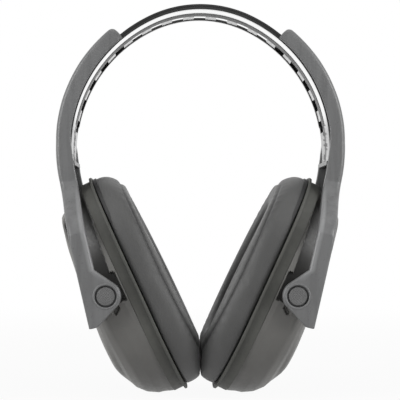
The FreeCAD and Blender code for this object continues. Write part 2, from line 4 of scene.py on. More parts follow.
import bmesh
import bpy
import numpy as np
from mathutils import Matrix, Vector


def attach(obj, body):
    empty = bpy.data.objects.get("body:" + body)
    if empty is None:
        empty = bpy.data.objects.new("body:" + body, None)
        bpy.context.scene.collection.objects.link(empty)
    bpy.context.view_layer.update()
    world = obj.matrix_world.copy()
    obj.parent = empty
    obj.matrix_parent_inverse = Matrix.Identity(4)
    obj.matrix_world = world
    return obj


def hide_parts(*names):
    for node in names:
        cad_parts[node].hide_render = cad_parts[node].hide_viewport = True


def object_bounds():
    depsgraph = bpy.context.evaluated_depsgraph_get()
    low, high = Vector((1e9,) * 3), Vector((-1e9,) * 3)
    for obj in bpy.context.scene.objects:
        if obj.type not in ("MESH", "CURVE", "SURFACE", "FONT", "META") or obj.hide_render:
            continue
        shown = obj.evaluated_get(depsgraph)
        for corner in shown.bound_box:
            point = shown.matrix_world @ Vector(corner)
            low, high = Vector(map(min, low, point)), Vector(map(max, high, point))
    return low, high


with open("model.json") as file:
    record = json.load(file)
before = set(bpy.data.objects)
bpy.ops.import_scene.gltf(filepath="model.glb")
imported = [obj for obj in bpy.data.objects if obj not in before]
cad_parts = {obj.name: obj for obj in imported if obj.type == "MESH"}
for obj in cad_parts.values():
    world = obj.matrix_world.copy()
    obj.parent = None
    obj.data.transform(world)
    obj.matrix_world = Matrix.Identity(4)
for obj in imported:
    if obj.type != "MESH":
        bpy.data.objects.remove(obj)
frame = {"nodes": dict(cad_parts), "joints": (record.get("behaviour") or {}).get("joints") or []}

bl_info = {
    "name": "Hearing Protection Earmuffs",
    "version": (1, 0, 0),
    "blender": (4, 5, 0),
    "location": "3D View > Sidebar > Earmuffs",
    "description": "Builds over-head earmuffs round their packed CAD frame",
    "category": "Object",
}

NODES = frame["nodes"]
CAD_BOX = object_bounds()
MM = 0.001
SIDES = ((-1, "left"), (1, "right"))

# Shapes are worked out in millimetres on the right half, with X outwards and Z up.
# Each joint's place gives the centre that its pieces are measured from.


def joint_centre(name):
    """Where a hinge's axis crosses the plane of its half, as (x, z) in millimetres."""
    joint = next(item for item in frame["joints"] if item["name"] == name)
    return np.array((joint["pos_m"][0], joint["pos_m"][2])) / MM


PIVOT = joint_centre("right_tilt")
ARC_CENTRE = joint_centre("right_height")

# Strap: a crown arc and a flatter arc down each side.
CROWN_RADIUS = 52.6
CROWN_ANGLE = math.radians(25.6)
STRAP_RADIUS = 66.5
BAND_END = math.radians(80)
STRAP_END = math.radians(97)
SLOT_PITCH = 10.8
SLOT_LENGTH = 5.6
SLOTS_EACH_SIDE = 8

# Arm and fork.
LEG_LEAN = math.radians(13)
ARM_RADIUS = 73.69
ARM_TOP = math.radians(39.6)
ARM_END = math.radians(103)
ARM_DEPTH = 8.1
ARM_DEGREES = (39.6, 47, 57, 72, 82, 86, 88, 91, 97)
ARM_BULGE = (0.1, 0.3, 0.6, 0.6, 0.35, 0.12, 0, 0, 0)
ARM_DEPTHS = (7.0, 7.0, 7.3, 7.3, 6.95, 6.9, 7.1, 7.6, ARM_DEPTH)
ARM_WEB = 2.0
ARM_MOUTH = 4.4
ARM_INSIDE = 18.6
ARM_OUTSIDE = 21.0
LEG_INSIDE = 42.0
LEG_OUTSIDE = 45.2
LEG_LENGTH = 68.1
CROTCH_DROP = 6.5
SPREAD_START = 5.0
SPREAD_INSIDE = 29.0
SPREAD_OUTSIDE = 25.0
PIVOT_DROP = 55.3
PIVOT_DEPTH = 10.5
LUG_RADIUS = 6.9
NECK_DROP = 42.6
TIP_DEPTH = 3.9
CROTCH_HEIGHT = 7.0
END_ROUND = 0.5
BROW_RADIUS = 3.0
LEG_EDGE = 1.2
EDGE_DROPS = (0, 12, 36, 46, 52, 60)
EDGE_RADII = (1.6, 2.0, 3.0, 3.2, 1.2)
CATCH_RADIUS = 66.3
CATCH_LENGTH = 2.0
CATCH_THICK = 1.0
CATCH_EDGE = 0.3
CATCH_SEAT = 0.4

# Pivot pin and its counterbore.
HEAD_RADIUS = 4.12
HEAD_EDGE = 0.25
BORE_RADIUS = 4.95
HEAD_TOP = 45.2
HEAD_BASE = 43.8
BORE_BASE = 42.6
SHANK_RADIUS = 2.5
HOLE_RADIUS = 2.58
SHANK_END = 36.8

# Cup: X = 0 is the flange plane.
CUP_TILT = math.radians(26)
PIVOT_HEIGHT = 16.2
FLANGE = (41.0, 57.0, 53.0, 37.0)
OPENING = (22.0, 33.0, 33.0, 19.0)
LEAN_AT_TOP = 0.3
LEAN_PER_DROP = 0.021
RING_WIDTH = 9.0
RING_HEIGHT = 6.2
LIP_THICK = 1.2
LIP_REACH = 1.5
PAD_WIDTH = 17.5
PAD_BASE = -0.4
PAD_DEPTH = 12.2
PAD_TAPER = 5.2
PAD_BOW = 0.9
PAD_STEPS = 14
PAD_FLATS = 6
MIDDLE_GAP = 0.25
CLOTH_SCALE = 10
CLOTH_FRAMES = 20
LINER = (29.3, 45.0, 36.4, 25.0)
LINER_BACK = 19.3
LINER_FACE = 12.7
LINER_EDGE = 1.6
LINER_CENTRE = -4.3


# ---- meshes ----

def grid_quads(rows, columns, close_rows=False, close_columns=False):
    """Four corners for each cell of a grid of points, joined up end to end where it closes."""
    row = np.arange(rows if close_rows else rows - 1)
    column = np.arange(columns if close_columns else columns - 1)
    row, column = [part.ravel() for part in np.meshgrid(row, column, indexing="ij")]
    next_row, next_column = (row + 1) % rows, (column + 1) % columns
    return np.stack((row * columns + column, row * columns + next_column,
                     next_row * columns + next_column, next_row * columns + column), axis=1)


def end_caps(rows, columns):
    """The first and the last row of a grid of points, as a face each."""
    return np.arange(columns) + np.array(((0,), (rows - 1,))) * columns


def add_piece(name, points, faces, smooth_angle=35, marks=()):
    """A mesh object from points in millimetres and lists of faces, with no doubles and its faces
    outwards. Marks are values by name, one for each point, which its finish reads."""
    mesh = bpy.data.meshes.new(name)
    corners = [face for part in faces for face in part.tolist()]
    mesh.from_pydata((points.reshape(-1, 3) * MM).tolist(), [], corners)
    for mark, values in dict(marks).items():
        mesh.attributes.new(mark, "FLOAT", "POINT").data.foreach_set("value", values.ravel())
    work = bmesh.new()
    work.from_mesh(mesh)
    bmesh.ops.remove_doubles(work, verts=work.verts, dist=2e-6)
    bmesh.ops.recalc_face_normals(work, faces=work.faces)
    work.to_mesh(mesh)
    work.free()
    shade(mesh, smooth_angle)
    piece = bpy.data.objects.new(name, mesh)
    bpy.context.scene.collection.objects.link(piece)
    return piece


def shade(mesh, smooth_angle):
    """Smooth shading that keeps the edges sharper than an angle in degrees."""
    mesh.polygons.foreach_set("use_smooth", np.ones(len(mesh.polygons), bool))
    mesh.set_sharp_from_angle(angle=math.radians(smooth_angle))


def keep_result(piece):
    """Make the result of a piece's modifiers its mesh."""
    graph = bpy.context.evaluated_depsgraph_get()
    result = bpy.data.meshes.new_from_object(piece.evaluated_get(graph))
    piece.modifiers.clear()
    piece.data = result


def cut_away(piece, cutter):
    """Take a closed cutter out of a closed piece."""
    tool = piece.modifiers.new("cut", "BOOLEAN")
    tool.object = cutter
    tool.solver = "EXACT"
    keep_result(piece)
    bpy.data.objects.remove(cutter)


def even_normals(piece):
    """Let wide flat faces set the shading next to narrow rounded edges."""
    weights = piece.modifiers.new("even_normals", "WEIGHTED_NORMAL")
    weights.keep_sharp = True


def read_vectors(items, name):
    """One vector of every item in a collection, as rows."""
    values = np.empty(len(items) * 3)
    items.foreach_get(name, values)
    return values.reshape(-1, 3)


def set_points(mesh, points):
    """Move a mesh's points."""
    mesh.vertices.foreach_set("co", points.ravel())
    mesh.update()


def coat(mesh, material):
    """Give a mesh one finish."""
    mesh.materials.clear()
    mesh.materials.append(material)


def finish_piece(piece, material, body, slot, *nodes):
    """Give a piece its finish, the body that it rides on and the CAD nodes that it stands for."""
    coat(piece.data, material)
    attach(piece, body)
    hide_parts(*nodes)


def turned(points, angle, origin):
    """Points of a frame that leans by an angle about its origin at (x, z), in the part's frame."""
    across, up = points[..., 0], points[..., 2]
    return np.stack((origin[0] + across * math.cos(angle) + up * math.sin(angle), points[..., 1],
                     origin[1] - across * math.sin(angle) + up * math.cos(angle)), axis=-1)


def on_side(points, side):
    """The right half as it is, or turned half round about Z to make the left half."""
    return points * np.array((side, side, 1.0))


def cup_points(points, side):
    """Points from the cup's frame, which leans at rest, to the part's frame."""
    base = PIVOT - PIVOT_HEIGHT * np.array((math.cos(CUP_TILT), -math.sin(CUP_TILT)))
    return on_side(turned(points, CUP_TILT, base), side)


def flange_lean(points, share):
    """Points near the flange moved outwards for a share: by 0.3 mm at the flange's top and by
    0.021 mm more for each millimetre below it."""
    lean = LEAN_AT_TOP + LEAN_PER_DROP * (FLANGE[2] - points[..., 2])
    return points + (lean * share)[..., None] * np.array((1.0, 0.0, 0.0))


def smoothstep(low, high, value):
    """0 below low, 1 above high and a smooth S between them."""
    part = np.clip((value - low) / (high - low), 0, 1)
    return part * part * (3 - 2 * part)


def eased(value, low, high):
    """A straight ramp from 0 to 1 with softened ends: t - 0.5 sin(2 pi t) / (2 pi)."""
    part = np.clip((value - low) / (high - low), 0, 1)
    return part - 0.25 * np.sin(2 * math.pi * part) / math.pi


def round_section(corners, radii, steps, flats):
    """A closed section with its corners rounded, for every station at once.

    Each corner P becomes the curve (1-t)^2 A + 2t(1-t) P + t^2 B, where A and B lie on the two
    sides that meet at P, a radius away from it or 0.48 of the side, whichever is less. Points
    evenly spaced between B and the next A carry the flat.
    """
    corner = np.stack(corners, axis=1)
    before, after = np.roll(corner, 1, axis=1) - corner, np.roll(corner, -1, axis=1) - corner
    before_length = np.linalg.norm(before, axis=2, keepdims=True)
    after_length = np.linalg.norm(after, axis=2, keepdims=True)
    radius = np.stack(np.broadcast_arrays(*radii), axis=-1)[..., None] * np.ones_like(before_length)
    reach = np.minimum(radius, 0.48 * np.minimum(before_length, after_length))
    start = corner + before / np.maximum(before_length, 1e-9) * reach
    end = corner + after / np.maximum(after_length, 1e-9) * reach
    turn = np.linspace(0, 1, steps)[None, None, :, None]
    curve = ((1 - turn) ** 2 * start[:, :, None] + 2 * turn * (1 - turn) * corner[:, :, None]
             + turn ** 2 * end[:, :, None])
    along = np.linspace(0, 1, flats + 2)[None, None, 1:-1, None]
    flat = end[:, :, None] * (1 - along) + np.roll(start, -1, axis=1)[:, :, None] * along
    return np.concatenate((curve, flat), axis=2).reshape(len(corner), -1, 2)


def plain_section(corners, radii, steps, flats):
    """A rounded section that is the same at every station."""
    return round_section([np.array([pair]) for pair in corners], radii, steps, flats)[0]


def outline_grid(half_width, bottom, top, corner, arc_steps=36, side_steps=20, end_steps=4):
    """Rounded rectangles in (Y, Z), one for each row of the sizes, all with matching points.

    y = s (w - c) + c cos a and z = m + q (l - c) + c sin a: s and q are +1 or -1 at a corner's
    centre and run evenly between along a straight side, a is the angle round the corner.
    """
    half_width, bottom, top, corner = [np.atleast_1d(np.asarray(part, float))[:, None]
                                       for part in (half_width, bottom, top, corner)]
    angle, across, up = [], [], []
    signs = ((1, 1), (-1, 1), (-1, -1), (1, -1))
    for index, (sign_across, sign_up) in enumerate(signs):
        turn = np.linspace(0, 1, arc_steps, endpoint=False)
        angle.append(math.pi / 2 * (index + turn))
        across.append(np.full(arc_steps, float(sign_across)))
        up.append(np.full(arc_steps, float(sign_up)))
        next_across, next_up = signs[(index + 1) % 4]
        steps = end_steps if next_across != sign_across else side_steps
        slide = np.linspace(0, 1, steps, endpoint=False)
        angle.append(np.full(steps, math.pi / 2 * (index + 1)))
        across.append(sign_across + (next_across - sign_across) * slide)
        up.append(sign_up + (next_up - sign_up) * slide)
    angle, across, up = [np.concatenate(part)[None] for part in (angle, across, up)]
    half_length, middle = (top + bottom) / 2, (top - bottom) / 2
    corner = np.minimum(corner, np.minimum(half_width, half_length))
    return np.stack((across * (half_width - corner) + corner * np.cos(angle),
                     middle + up * (half_length - corner) + corner * np.sin(angle)), axis=-1)


def drawn_in(outline, inset):
    """The sizes of a rounded outline drawn in all round by insets."""
    inset = np.asarray(inset, float)
    return [size - inset for size in outline]


def raised(line, x):
    """Outlines in (Y, Z) as points at X."""
    return np.concatenate((x + 0 * line[..., :1], line), axis=-1)


def rounded_end(distance, radius):
    """How far a face draws back near a rounded end: r - sqrt(r^2 - max(r - d, 0)^2)."""
    short = np.clip(radius - distance, 0, None)
    return radius - np.sqrt(np.clip(radius ** 2 - short ** 2, 0, None))


# ---- finishes ----

def link(tree, source, target):
    tree.links.new(source, target)


def add_node(tree, kind, settings=(), inputs=()):
    """A node with its settings and its unlinked inputs."""
    node = tree.nodes.new(kind)
    for name, value in dict(settings).items():
        setattr(node, name, value)
    for name, value in dict(inputs).items():
        node.inputs[name].default_value = value
    return node


def object_coordinates(tree, stretch=(1, 1, 1)):
    """Object coordinates, in metres, stretched so that a pattern runs along an axis."""
    place = add_node(tree, "ShaderNodeTexCoord")
    scale = add_node(tree, "ShaderNodeMapping", inputs={"Scale": stretch})
    link(tree, place.outputs["Object"], scale.inputs["Vector"])
    return scale.outputs["Vector"]


def noise(tree, scale, detail=3, stretch=(1, 1, 1)):
    """Soft noise; scale is in cycles per metre."""
    node = add_node(tree, "ShaderNodeTexNoise",
                    inputs={"Scale": scale, "Detail": detail, "Roughness": 0.55})
    link(tree, object_coordinates(tree, stretch), node.inputs["Vector"])
    return node.outputs["Fac"]


def cells(tree, scale, feature="F1", stretch=(1, 1, 1)):
    """Distances in a cell pattern; scale is in cells per metre."""
    node = add_node(tree, "ShaderNodeTexVoronoi", {"feature": feature}, {"Scale": scale})
    link(tree, object_coordinates(tree, stretch), node.inputs["Vector"])
    return node.outputs["Distance"]


def remap(tree, value, low, high, to_low, to_high):
    """A value's range moved to another range, smoothly."""
    node = add_node(tree, "ShaderNodeMapRange", {"interpolation_type": "SMOOTHSTEP"},
                    {"From Min": low, "From Max": high, "To Min": to_low, "To Max": to_high})
    link(tree, value, node.inputs["Value"])
    return node.outputs["Result"]


def blend_tones(tree, factor, first, second):
    """One colour into another by a factor; either may be another blend."""
    node = add_node(tree, "ShaderNodeMix", {"data_type": "RGBA"})
    link(tree, factor, node.inputs["Factor"])
    for socket, tone in (("A", first), ("B", second)):
        place = next(item for item in node.inputs if item.name == socket and item.type == "RGBA")
        if isinstance(tone, bpy.types.NodeSocket):
            link(tree, tone, place)
        else:
            place.default_value = (*tone, 1)
    return next(item for item in node.outputs if item.type == "RGBA")


def emboss(tree, height, depth, strength=1.0, under=None):
    """A bump of a height pattern, depth in metres, laid over another bump."""
    node = add_node(tree, "ShaderNodeBump", inputs={"Strength": strength, "Distance": depth})
    link(tree, height, node.inputs["Height"])
    if under is not None:
        link(tree, under, node.inputs["Normal"])
    return node.outputs["Normal"]


def combine(tree, operation, first, second):
    """Two values joined by an operation such as MULTIPLY or MAXIMUM."""
    node = add_node(tree, "ShaderNodeMath", {"operation": operation})
    link(tree, first, node.inputs[0])
    link(tree, second, node.inputs[1])
    return node.outputs[0]


def multiply(tree, first, second):
    return combine(tree, "MULTIPLY", first, second)


def mark_value(tree, mark):
    """The value of one of a piece's marks."""
    return add_node(tree, "ShaderNodeAttribute", {"attribute_name": mark}).outputs["Fac"]


def marked_tones(tree, tone, colour, marks):
    """A tone, changed to the colour times a factor where each mark of a piece is 1: painted shade
    where the factor is below 1 and a painted highlight where it is above.
    """
    for mark, factor in marks:
        tone = blend_tones(tree, mark_value(tree, mark), tone, scaled(colour, factor))
    return tone


def scaled(colour, factor):
    """A colour made lighter or darker."""
    return tuple(min(1.0, part * factor) for part in colour)


def new_finish(name, constants):
    """A material with its shader, and the shader's constant inputs."""
    material = bpy.data.materials.new(name)
    material.use_nodes = True
    tree = material.node_tree
    tree.nodes.clear()
    shader = add_node(tree, "ShaderNodeBsdfPrincipled", inputs=constants)
    output = add_node(tree, "ShaderNodeOutputMaterial")
    link(tree, shader.outputs["BSDF"], output.inputs["Surface"])
    return material, tree, shader


def moulded_plastic(name, colour, roughness, grain_depth=1.5e-5, streaks=(1, 1, 1), contrast=0.1,
                    edge_wear=1.25, grain=2600.0, marks=()):
    """Moulded plastic: flow marks, a spark-eroded grain, scuffs, edges worn lighter, painted shade
    on marked places that are darker and painted highlights on marked places that are lighter."""
    material, tree, shader = new_finish(name, {"IOR": 1.46})
    flow = noise(tree, 90.0, 4, streaks)
    mottle = noise(tree, 900.0, 3)
    fine = noise(tree, grain, 2)
    tone = blend_tones(tree, remap(tree, flow, 0.3, 0.7, 0, 1), scaled(colour, 1 - contrast),
                       scaled(colour, 1 + contrast))
    tone = blend_tones(tree, remap(tree, mottle, 0.55, 0.75, 0, 0.35), tone,
                       scaled(colour, 1 + 1.6 * contrast))
    edges = add_node(tree, "ShaderNodeNewGeometry")
    worn = remap(tree, edges.outputs["Pointiness"], 0.52, 0.62, 0, 0.6)
    tone = blend_tones(tree, worn, tone, scaled(colour, edge_wear))
    link(tree, marked_tones(tree, tone, colour, marks), shader.inputs["Base Color"])
    rough = remap(tree, mottle, 0.3, 0.7, roughness - 0.06, roughness + 0.07)
    link(tree, rough, shader.inputs["Roughness"])
    bump = emboss(tree, fine, grain_depth)
    link(tree, emboss(tree, mottle, grain_depth * 1.5, 0.6, bump), shader.inputs["Normal"])
    return material


def strap_finish(colours):
    """Glossy black spring plastic, which turns to a mirror at a low angle where the mark "gloss"
    is high: slow flow waves, faint rub marks along the strap, and a matt grain where the mark
    "band" is 1."""
    material, tree, shader = new_finish("strap_gloss_black", {"IOR": 1.45})
    flow = noise(tree, 60.0, 3, (1, 0.3, 1))
    rub = noise(tree, 1400.0, 3, (0.15, 1, 0.15))
    grip = noise(tree, 2400.0, 2)
    gloss, band = mark_value(tree, "gloss"), mark_value(tree, "band")
    tone = blend_tones(tree, remap(tree, flow, 0.35, 0.7, 0, 1), scaled(colours.strap, 0.75),
                       scaled(colours.strap, 1.4))
    tone = blend_tones(tree, remap(tree, rub, 0.62, 0.8, 0, 0.4), tone, scaled(colours.strap, 2.5))
    grained = multiply(tree, band, remap(tree, grip, 0.3, 0.7, 0.7, 1.0))
    tone = blend_tones(tree, grained, tone, tuple(colours.band))
    low_angle = add_node(tree, "ShaderNodeLayerWeight", inputs={"Blend": 0.5}).outputs["Facing"]
    mirror = multiply(tree, gloss, remap(tree, low_angle, 0.5, 0.84, 0, 1))
    link(tree, blend_tones(tree, mirror, tone, (0.95, 0.95, 0.95)), shader.inputs["Base Color"])
    link(tree, mirror, shader.inputs["Metallic"])
    rough = add_node(tree, "ShaderNodeMath", {"operation": "MULTIPLY_ADD"}, {1: 0.4})
    link(tree, band, rough.inputs[0])
    link(tree, remap(tree, rub, 0.4, 0.8, 0.12, 0.24), rough.inputs[2])
    link(tree, rough.outputs[0], shader.inputs["Roughness"])
    bump = emboss(tree, multiply(tree, band, grip), 3e-5, 0.8, emboss(tree, flow, 2e-5, 0.5))
    link(tree, emboss(tree, rub, 2e-6, 0.5, bump), shader.inputs["Normal"])
    return material


def leatherette_finish(colours):
    """Soft leatherette: pebbled cells with creases between them, fine pores, a faint sheen, painted
    shade in the seam's groove and a painted highlight along the piping.
    """
    constants = {"IOR": 1.45, "Sheen Weight": 0.15, "Sheen Roughness": 0.5}
    material, tree, shader = new_finish("cushion_leatherette", constants)
    pebbles = cells(tree, 1250.0, "DISTANCE_TO_EDGE")
    pores = cells(tree, 3600.0)
    crease = noise(tree, 240.0, 4)
    tint = noise(tree, 70.0, 3)
    colour = colours.cushion
    tone = blend_tones(tree, remap(tree, tint, 0.3, 0.7, 0, 1), scaled(colour, 0.92),
                       scaled(colour, 1.08))
    tone = blend_tones(tree, remap(tree, pebbles, 0.0, 0.12, 0.45, 0.0), tone, scaled(colour, 0.7))
    # Painted shade in the seam's groove, at 0.2 of the tone, and a painted highlight along the
    # piping, at 2.4.
    tone = marked_tones(tree, tone, colour, (("seam", 0.2), ("piping", 2.4)))
    link(tree, tone, shader.inputs["Base Color"])
    link(tree, remap(tree, tint, 0.3, 0.7, 0.46, 0.58), shader.inputs["Roughness"])
    bump = emboss(tree, remap(tree, pebbles, 0.0, 0.25, 0, 1), 5e-5, 0.7)
    bump = emboss(tree, pores, 1.2e-5, 0.5, bump)
    link(tree, emboss(tree, crease, 1.2e-4, 0.5, bump), shader.inputs["Normal"])
    return material


def foam_finish(name, colour):
    """Open-cell foam: deep irregular pores between pale struts."""
    material, tree, shader = new_finish(name, {"IOR": 1.4, "Sheen Weight": 0.2})
    pores = cells(tree, 900.0, "SMOOTH_F1")
    small = cells(tree, 2100.0)
    tone = blend_tones(tree, remap(tree, pores, 0.15, 0.7, 0, 1), scaled(colour, 0.45),
                       scaled(colour, 1.3))
    link(tree, tone, shader.inputs["Base Color"])
    link(tree, remap(tree, small, 0.1, 0.7, 0.85, 0.98), shader.inputs["Roughness"])
    bump = emboss(tree, pores, 5e-4, 1.0)
    link(tree, emboss(tree, small, 1.5e-4, 0.8, bump), shader.inputs["Normal"])
    return material


# ---- user's sizes and colours ----

def colour_property(name, description, default):
    return bpy.props.FloatVectorProperty(name=name, description=description, default=default,
                                         subtype="COLOR", size=3, min=0, max=1)


def length_property(name, description, default):
    return bpy.props.FloatProperty(name=name, description=description, unit="LENGTH", precision=5,
                                   default=default, min=0)


class EarmuffSizes(bpy.types.PropertyGroup):
    """Sizes that a user would change, in metres."""
    arm_edge: length_property("Arm edge", "Rounding of the arms' outer edges", 0.0028)
    arm_lip: length_property("Arm lip edge", "Rounding of the arms' inner lips", 0.0006)
    ring_edge: length_property("Ring edge", "Rounding of the base ring's lip", 0.0004)
    recess_depth: length_property(
        "Recess depth", "How far the shell draws in beside the legs", 0.0068)
    shell_wall: length_property("Shell wall", "Thickness of the cup shell", 0.002)
    cushion_corner: length_property(
        "Cushion corner", "Rounding of the cushion's outer edge", 0.0062)
    cushion_swell: length_property(
        "Cushion swell", "The most that the cushion's skin swells", 0.0009)
    seam_depth: length_property("Seam depth", "Depth of the cushion's seam", 0.0007)
    knurl_pitch: length_property("Knurl pitch", "Spacing of the knurls on the pin heads", 0.00085)
    knurl_depth: length_property("Knurl depth", "Height of the knurls on the pin heads", 0.00018)


class EarmuffColours(bpy.types.PropertyGroup):
    """Colours of the finishes."""
    strap: colour_property("Strap", "Glossy black headband strap", (0.012, 0.012, 0.012))
    band: colour_property(
        "Strap band", "Matt grey band along the strap's underside", (0.09, 0.09, 0.09))
    arm: colour_property("Arm", "Satin grey arms and forks", (0.134, 0.135, 0.136))
    shell: colour_property("Shell", "Warm grey cup shells", (0.117, 0.115, 0.109))
    ring: colour_property("Base ring", "Dark olive base rings", (0.064, 0.0645, 0.058))
    cushion: colour_property("Cushion", "Dark grey leatherette", (0.067, 0.067, 0.066))
    pin: colour_property("Pin", "Grey pivot pins", (0.115, 0.115, 0.115))
    inner: colour_property("Inner plastic", "Black plastic inside the cups", (0.02, 0.02, 0.02))
    foam: colour_property("Foam", "Black open-cell foam", (0.03, 0.03, 0.03))


# ---- headband ----

# The strap's section: across (Y), height over the underside, corner radius, then the finish of the
# side that follows: how far it turns to a mirror at a low angle. Heights below 0 end with the band.
STRAP_SECTION = (
    (-18.0, 0.0, 0.35, 0.25), (-18.0, 0.95, 0.1, 0.25), (-17.75, 1.1, 0.05, 0.0),
    (-17.75, 1.4, 0.05, 0.25), (-18.0, 1.55, 0.1, 0.25), (-18.0, 2.5, 0.45, 0.25),
    (-16.2, 2.5, 0.45, 0.2), (-16.2, 0.9, 0.3, 0.2), (4.0, 0.9, 0.0, 0.2), (15.8, 0.9, 0.0, 0.2),
    (18.0, 0.9, 0.3, 0.2), (18.0, -0.3, 0.25, 0.1), (15.8, -0.3, 0.1, 0.0), (15.8, 0.0, 0.0, 0.55),
    (4.0, 0.0, 0.0, 0.0), (4.0, -0.2, 0.1, 0.1), (-5.0, -0.2, 0.1, 0.2), (-5.0, 0.0, 0.1, 1.0))
STRAP_STEPS = 4
BAND_SIDE = 15


def strap_path(run):
    """The underside's point, outward direction and angle at a distance from the crown: an arc of
    the crown's radius, then on each side a tangent arc of the side radius about the height
    hinge."""
    side = np.sign(run)
    crown_run = CROWN_RADIUS * CROWN_ANGLE
    beyond = np.abs(run) > crown_run
    flank_angle = side * (CROWN_ANGLE + (np.abs(run) - crown_run) / STRAP_RADIUS)
    angle = np.where(beyond, flank_angle, run / CROWN_RADIUS)
    outward = np.stack((np.sin(angle), np.cos(angle)), axis=1)
    crown = np.array((0.0, -CROWN_RADIUS)) + outward * CROWN_RADIUS
    centre = np.stack((side * ARC_CENTRE[0], ARC_CENTRE[1] + 0 * side), axis=1)
    return np.where(beyond[:, None], centre + outward * STRAP_RADIUS, crown), outward, angle


def make_strap():
    """The headband strap: a rounded section carried along strap_path, with its slots left open.

    The section's low parts fade out past the band's end. Rows lie on the ends of every slot; the
    cells of a slot are left out above and below, and walls join the two faces round it.
    """
    longest = CROWN_RADIUS * CROWN_ANGLE + STRAP_RADIUS * (STRAP_END - CROWN_ANGLE)
    middles = np.arange(-SLOTS_EACH_SIDE, SLOTS_EACH_SIDE + 1) * SLOT_PITCH
    starts, stops = middles - SLOT_LENGTH / 2, middles + SLOT_LENGTH / 2
    run = np.unique(np.concatenate((np.linspace(-longest, longest, 260), starts, stops)).round(4))
    point, outward, angle = strap_path(run)
    low = 1 - smoothstep(BAND_END - 0.012, BAND_END, np.abs(angle))
    across, height, radius, gloss = np.array(STRAP_SECTION).T
    corners = [np.stack((y + 0 * low, up * (low if up < 0 else 1 + 0 * low)), axis=1)
               for y, up in zip(across, height)]
    section = round_section(corners, radius, STRAP_STEPS, 1)
    rows, columns = section.shape[:2]
    place = point[:, None] + outward[:, None] * section[..., 1:2]
    points = np.stack((place[..., 0], section[..., 0], place[..., 1]), axis=-1)
    halfway = run[:-1, None] / 2 + run[1:, None] / 2
    slotted = (np.abs(halfway - middles) < SLOT_LENGTH / 2).any(axis=1)
    each, last = STRAP_STEPS + 1, STRAP_STEPS - 1
    near_top, far_top, far_low, near_low = 8 * each + last, 9 * each, 13 * each + last, 14 * each
    quads = grid_quads(rows, columns, close_columns=True)
    row, column = quads[:, 0] // columns, quads[:, 0] % columns
    in_slot = (((column >= near_top) & (column < far_top))
               | ((column >= far_low) & (column < near_low)))
    quads = quads[~(slotted[row] & in_slot)]
    first = np.flatnonzero(slotted) * columns
    walls = [np.stack((first + a, first + columns + a, first + columns + b, first + b), axis=1)
             for a, b in ((near_top, near_low), (far_top, far_low))]
    ends = np.flatnonzero(np.isin(run, np.concatenate((starts, stops)).round(4))) * columns
    walls += [np.stack((ends + a, ends + a + 1, ends + b, ends + b + 1), axis=1)
              for a, b in ((near_top, far_low + 1), (near_top + 1, far_low))]
    turn = np.linspace(0, 1, STRAP_STEPS)
    before, after = np.roll(gloss, 1)[:, None], gloss[:, None]
    sheen = np.concatenate((before * (1 - turn) + after * turn, after), axis=1)
    band = np.zeros_like(sheen)
    band[BAND_SIDE], band[BAND_SIDE + 1, :2] = 1, 1
    fade = 1 - 0.7 * smoothstep(BAND_END - 0.09, BAND_END + 0.07, np.abs(angle))
    marks = {"gloss": fade[:, None] * sheen.ravel(), "band": np.tile(band.ravel(), rows)}
    return add_piece("slotted_strap", points, (quads, *walls, end_caps(rows, columns)), 40, marks)


def dress_headband(sizes, colours):
    """The slotted strap, and the stops at its ends."""
    finish = strap_finish(colours)
    finish_piece(make_strap(), finish, "headband", "strap", "headband_strap")
    for name in ("left_strap_stop", "right_strap_stop"):
        coat(NODES[name].data, finish)


# ---- arms ----

def arm_stations():
    """Rows along the arm: distance from the top end, how far down the leg, outer point, outward
    direction and depth. The path is an arc of the arm's radius plus its bulge about the height
    hinge, then the arc's tangent."""
    arc = np.linspace(ARM_TOP, ARM_END, 90)
    leg = np.concatenate((np.linspace(0, 34, 76), np.linspace(34.25, LEG_LENGTH - 0.5, 130),
                          np.linspace(LEG_LENGTH - 0.42, LEG_LENGTH, 5)))
    first = ARM_TOP + np.linspace(0, 3.2, 10)[:-1] / ARM_RADIUS
    arc = np.concatenate((first, arc[arc > first[-1] + 0.004]))[:-1]
    drop = np.concatenate((np.full(len(arc), -1.0), leg))
    angle = np.concatenate((arc, np.full(len(leg), ARM_END)))
    outward = np.stack((np.sin(angle), np.cos(angle)), axis=1)
    down = np.array((-math.sin(LEG_LEAN), -math.cos(LEG_LEAN)))
    bulge = np.interp(np.degrees(angle), ARM_DEGREES, ARM_BULGE)
    on_arc = ARC_CENTRE + outward * (ARM_RADIUS + bulge)[:, None]
    point = on_arc + np.maximum(drop, 0)[:, None] * down
    arc_depth = np.interp(np.degrees(angle), ARM_DEGREES, ARM_DEPTHS)
    depth = np.where(drop < 0, arc_depth, lug_depth(drop))
    run = np.concatenate(((arc - ARM_TOP) * ARM_RADIUS, (ARM_END - ARM_TOP) * ARM_RADIUS + leg))
    return run, drop, point, outward, depth


def lug_depth(drop):
    """The leg's depth down its length: constant, a tangent out to the lug's circle, the circle,
    and a tangent back to the narrow tip."""
    reach = math.hypot(PIVOT_DEPTH - ARM_DEPTH, PIVOT_DROP - NECK_DROP)
    upper = (math.atan2(NECK_DROP - PIVOT_DROP, ARM_DEPTH - PIVOT_DEPTH)
             + math.acos(LUG_RADIUS / reach))
    reach = math.hypot(PIVOT_DEPTH - TIP_DEPTH, LEG_LENGTH - PIVOT_DROP)
    lower = (math.atan2(LEG_LENGTH - PIVOT_DROP, TIP_DEPTH - PIVOT_DEPTH)
             - math.acos(LUG_RADIUS / reach))
    turn = np.linspace(upper, lower, 60)
    depths = np.concatenate(((ARM_DEPTH, ARM_DEPTH), PIVOT_DEPTH + LUG_RADIUS * np.cos(turn),
                             (TIP_DEPTH,)))
    drops = np.concatenate(((-9, NECK_DROP), PIVOT_DROP + LUG_RADIUS * np.sin(turn), (LEG_LENGTH,)))
    return np.interp(drop, drops, depths)


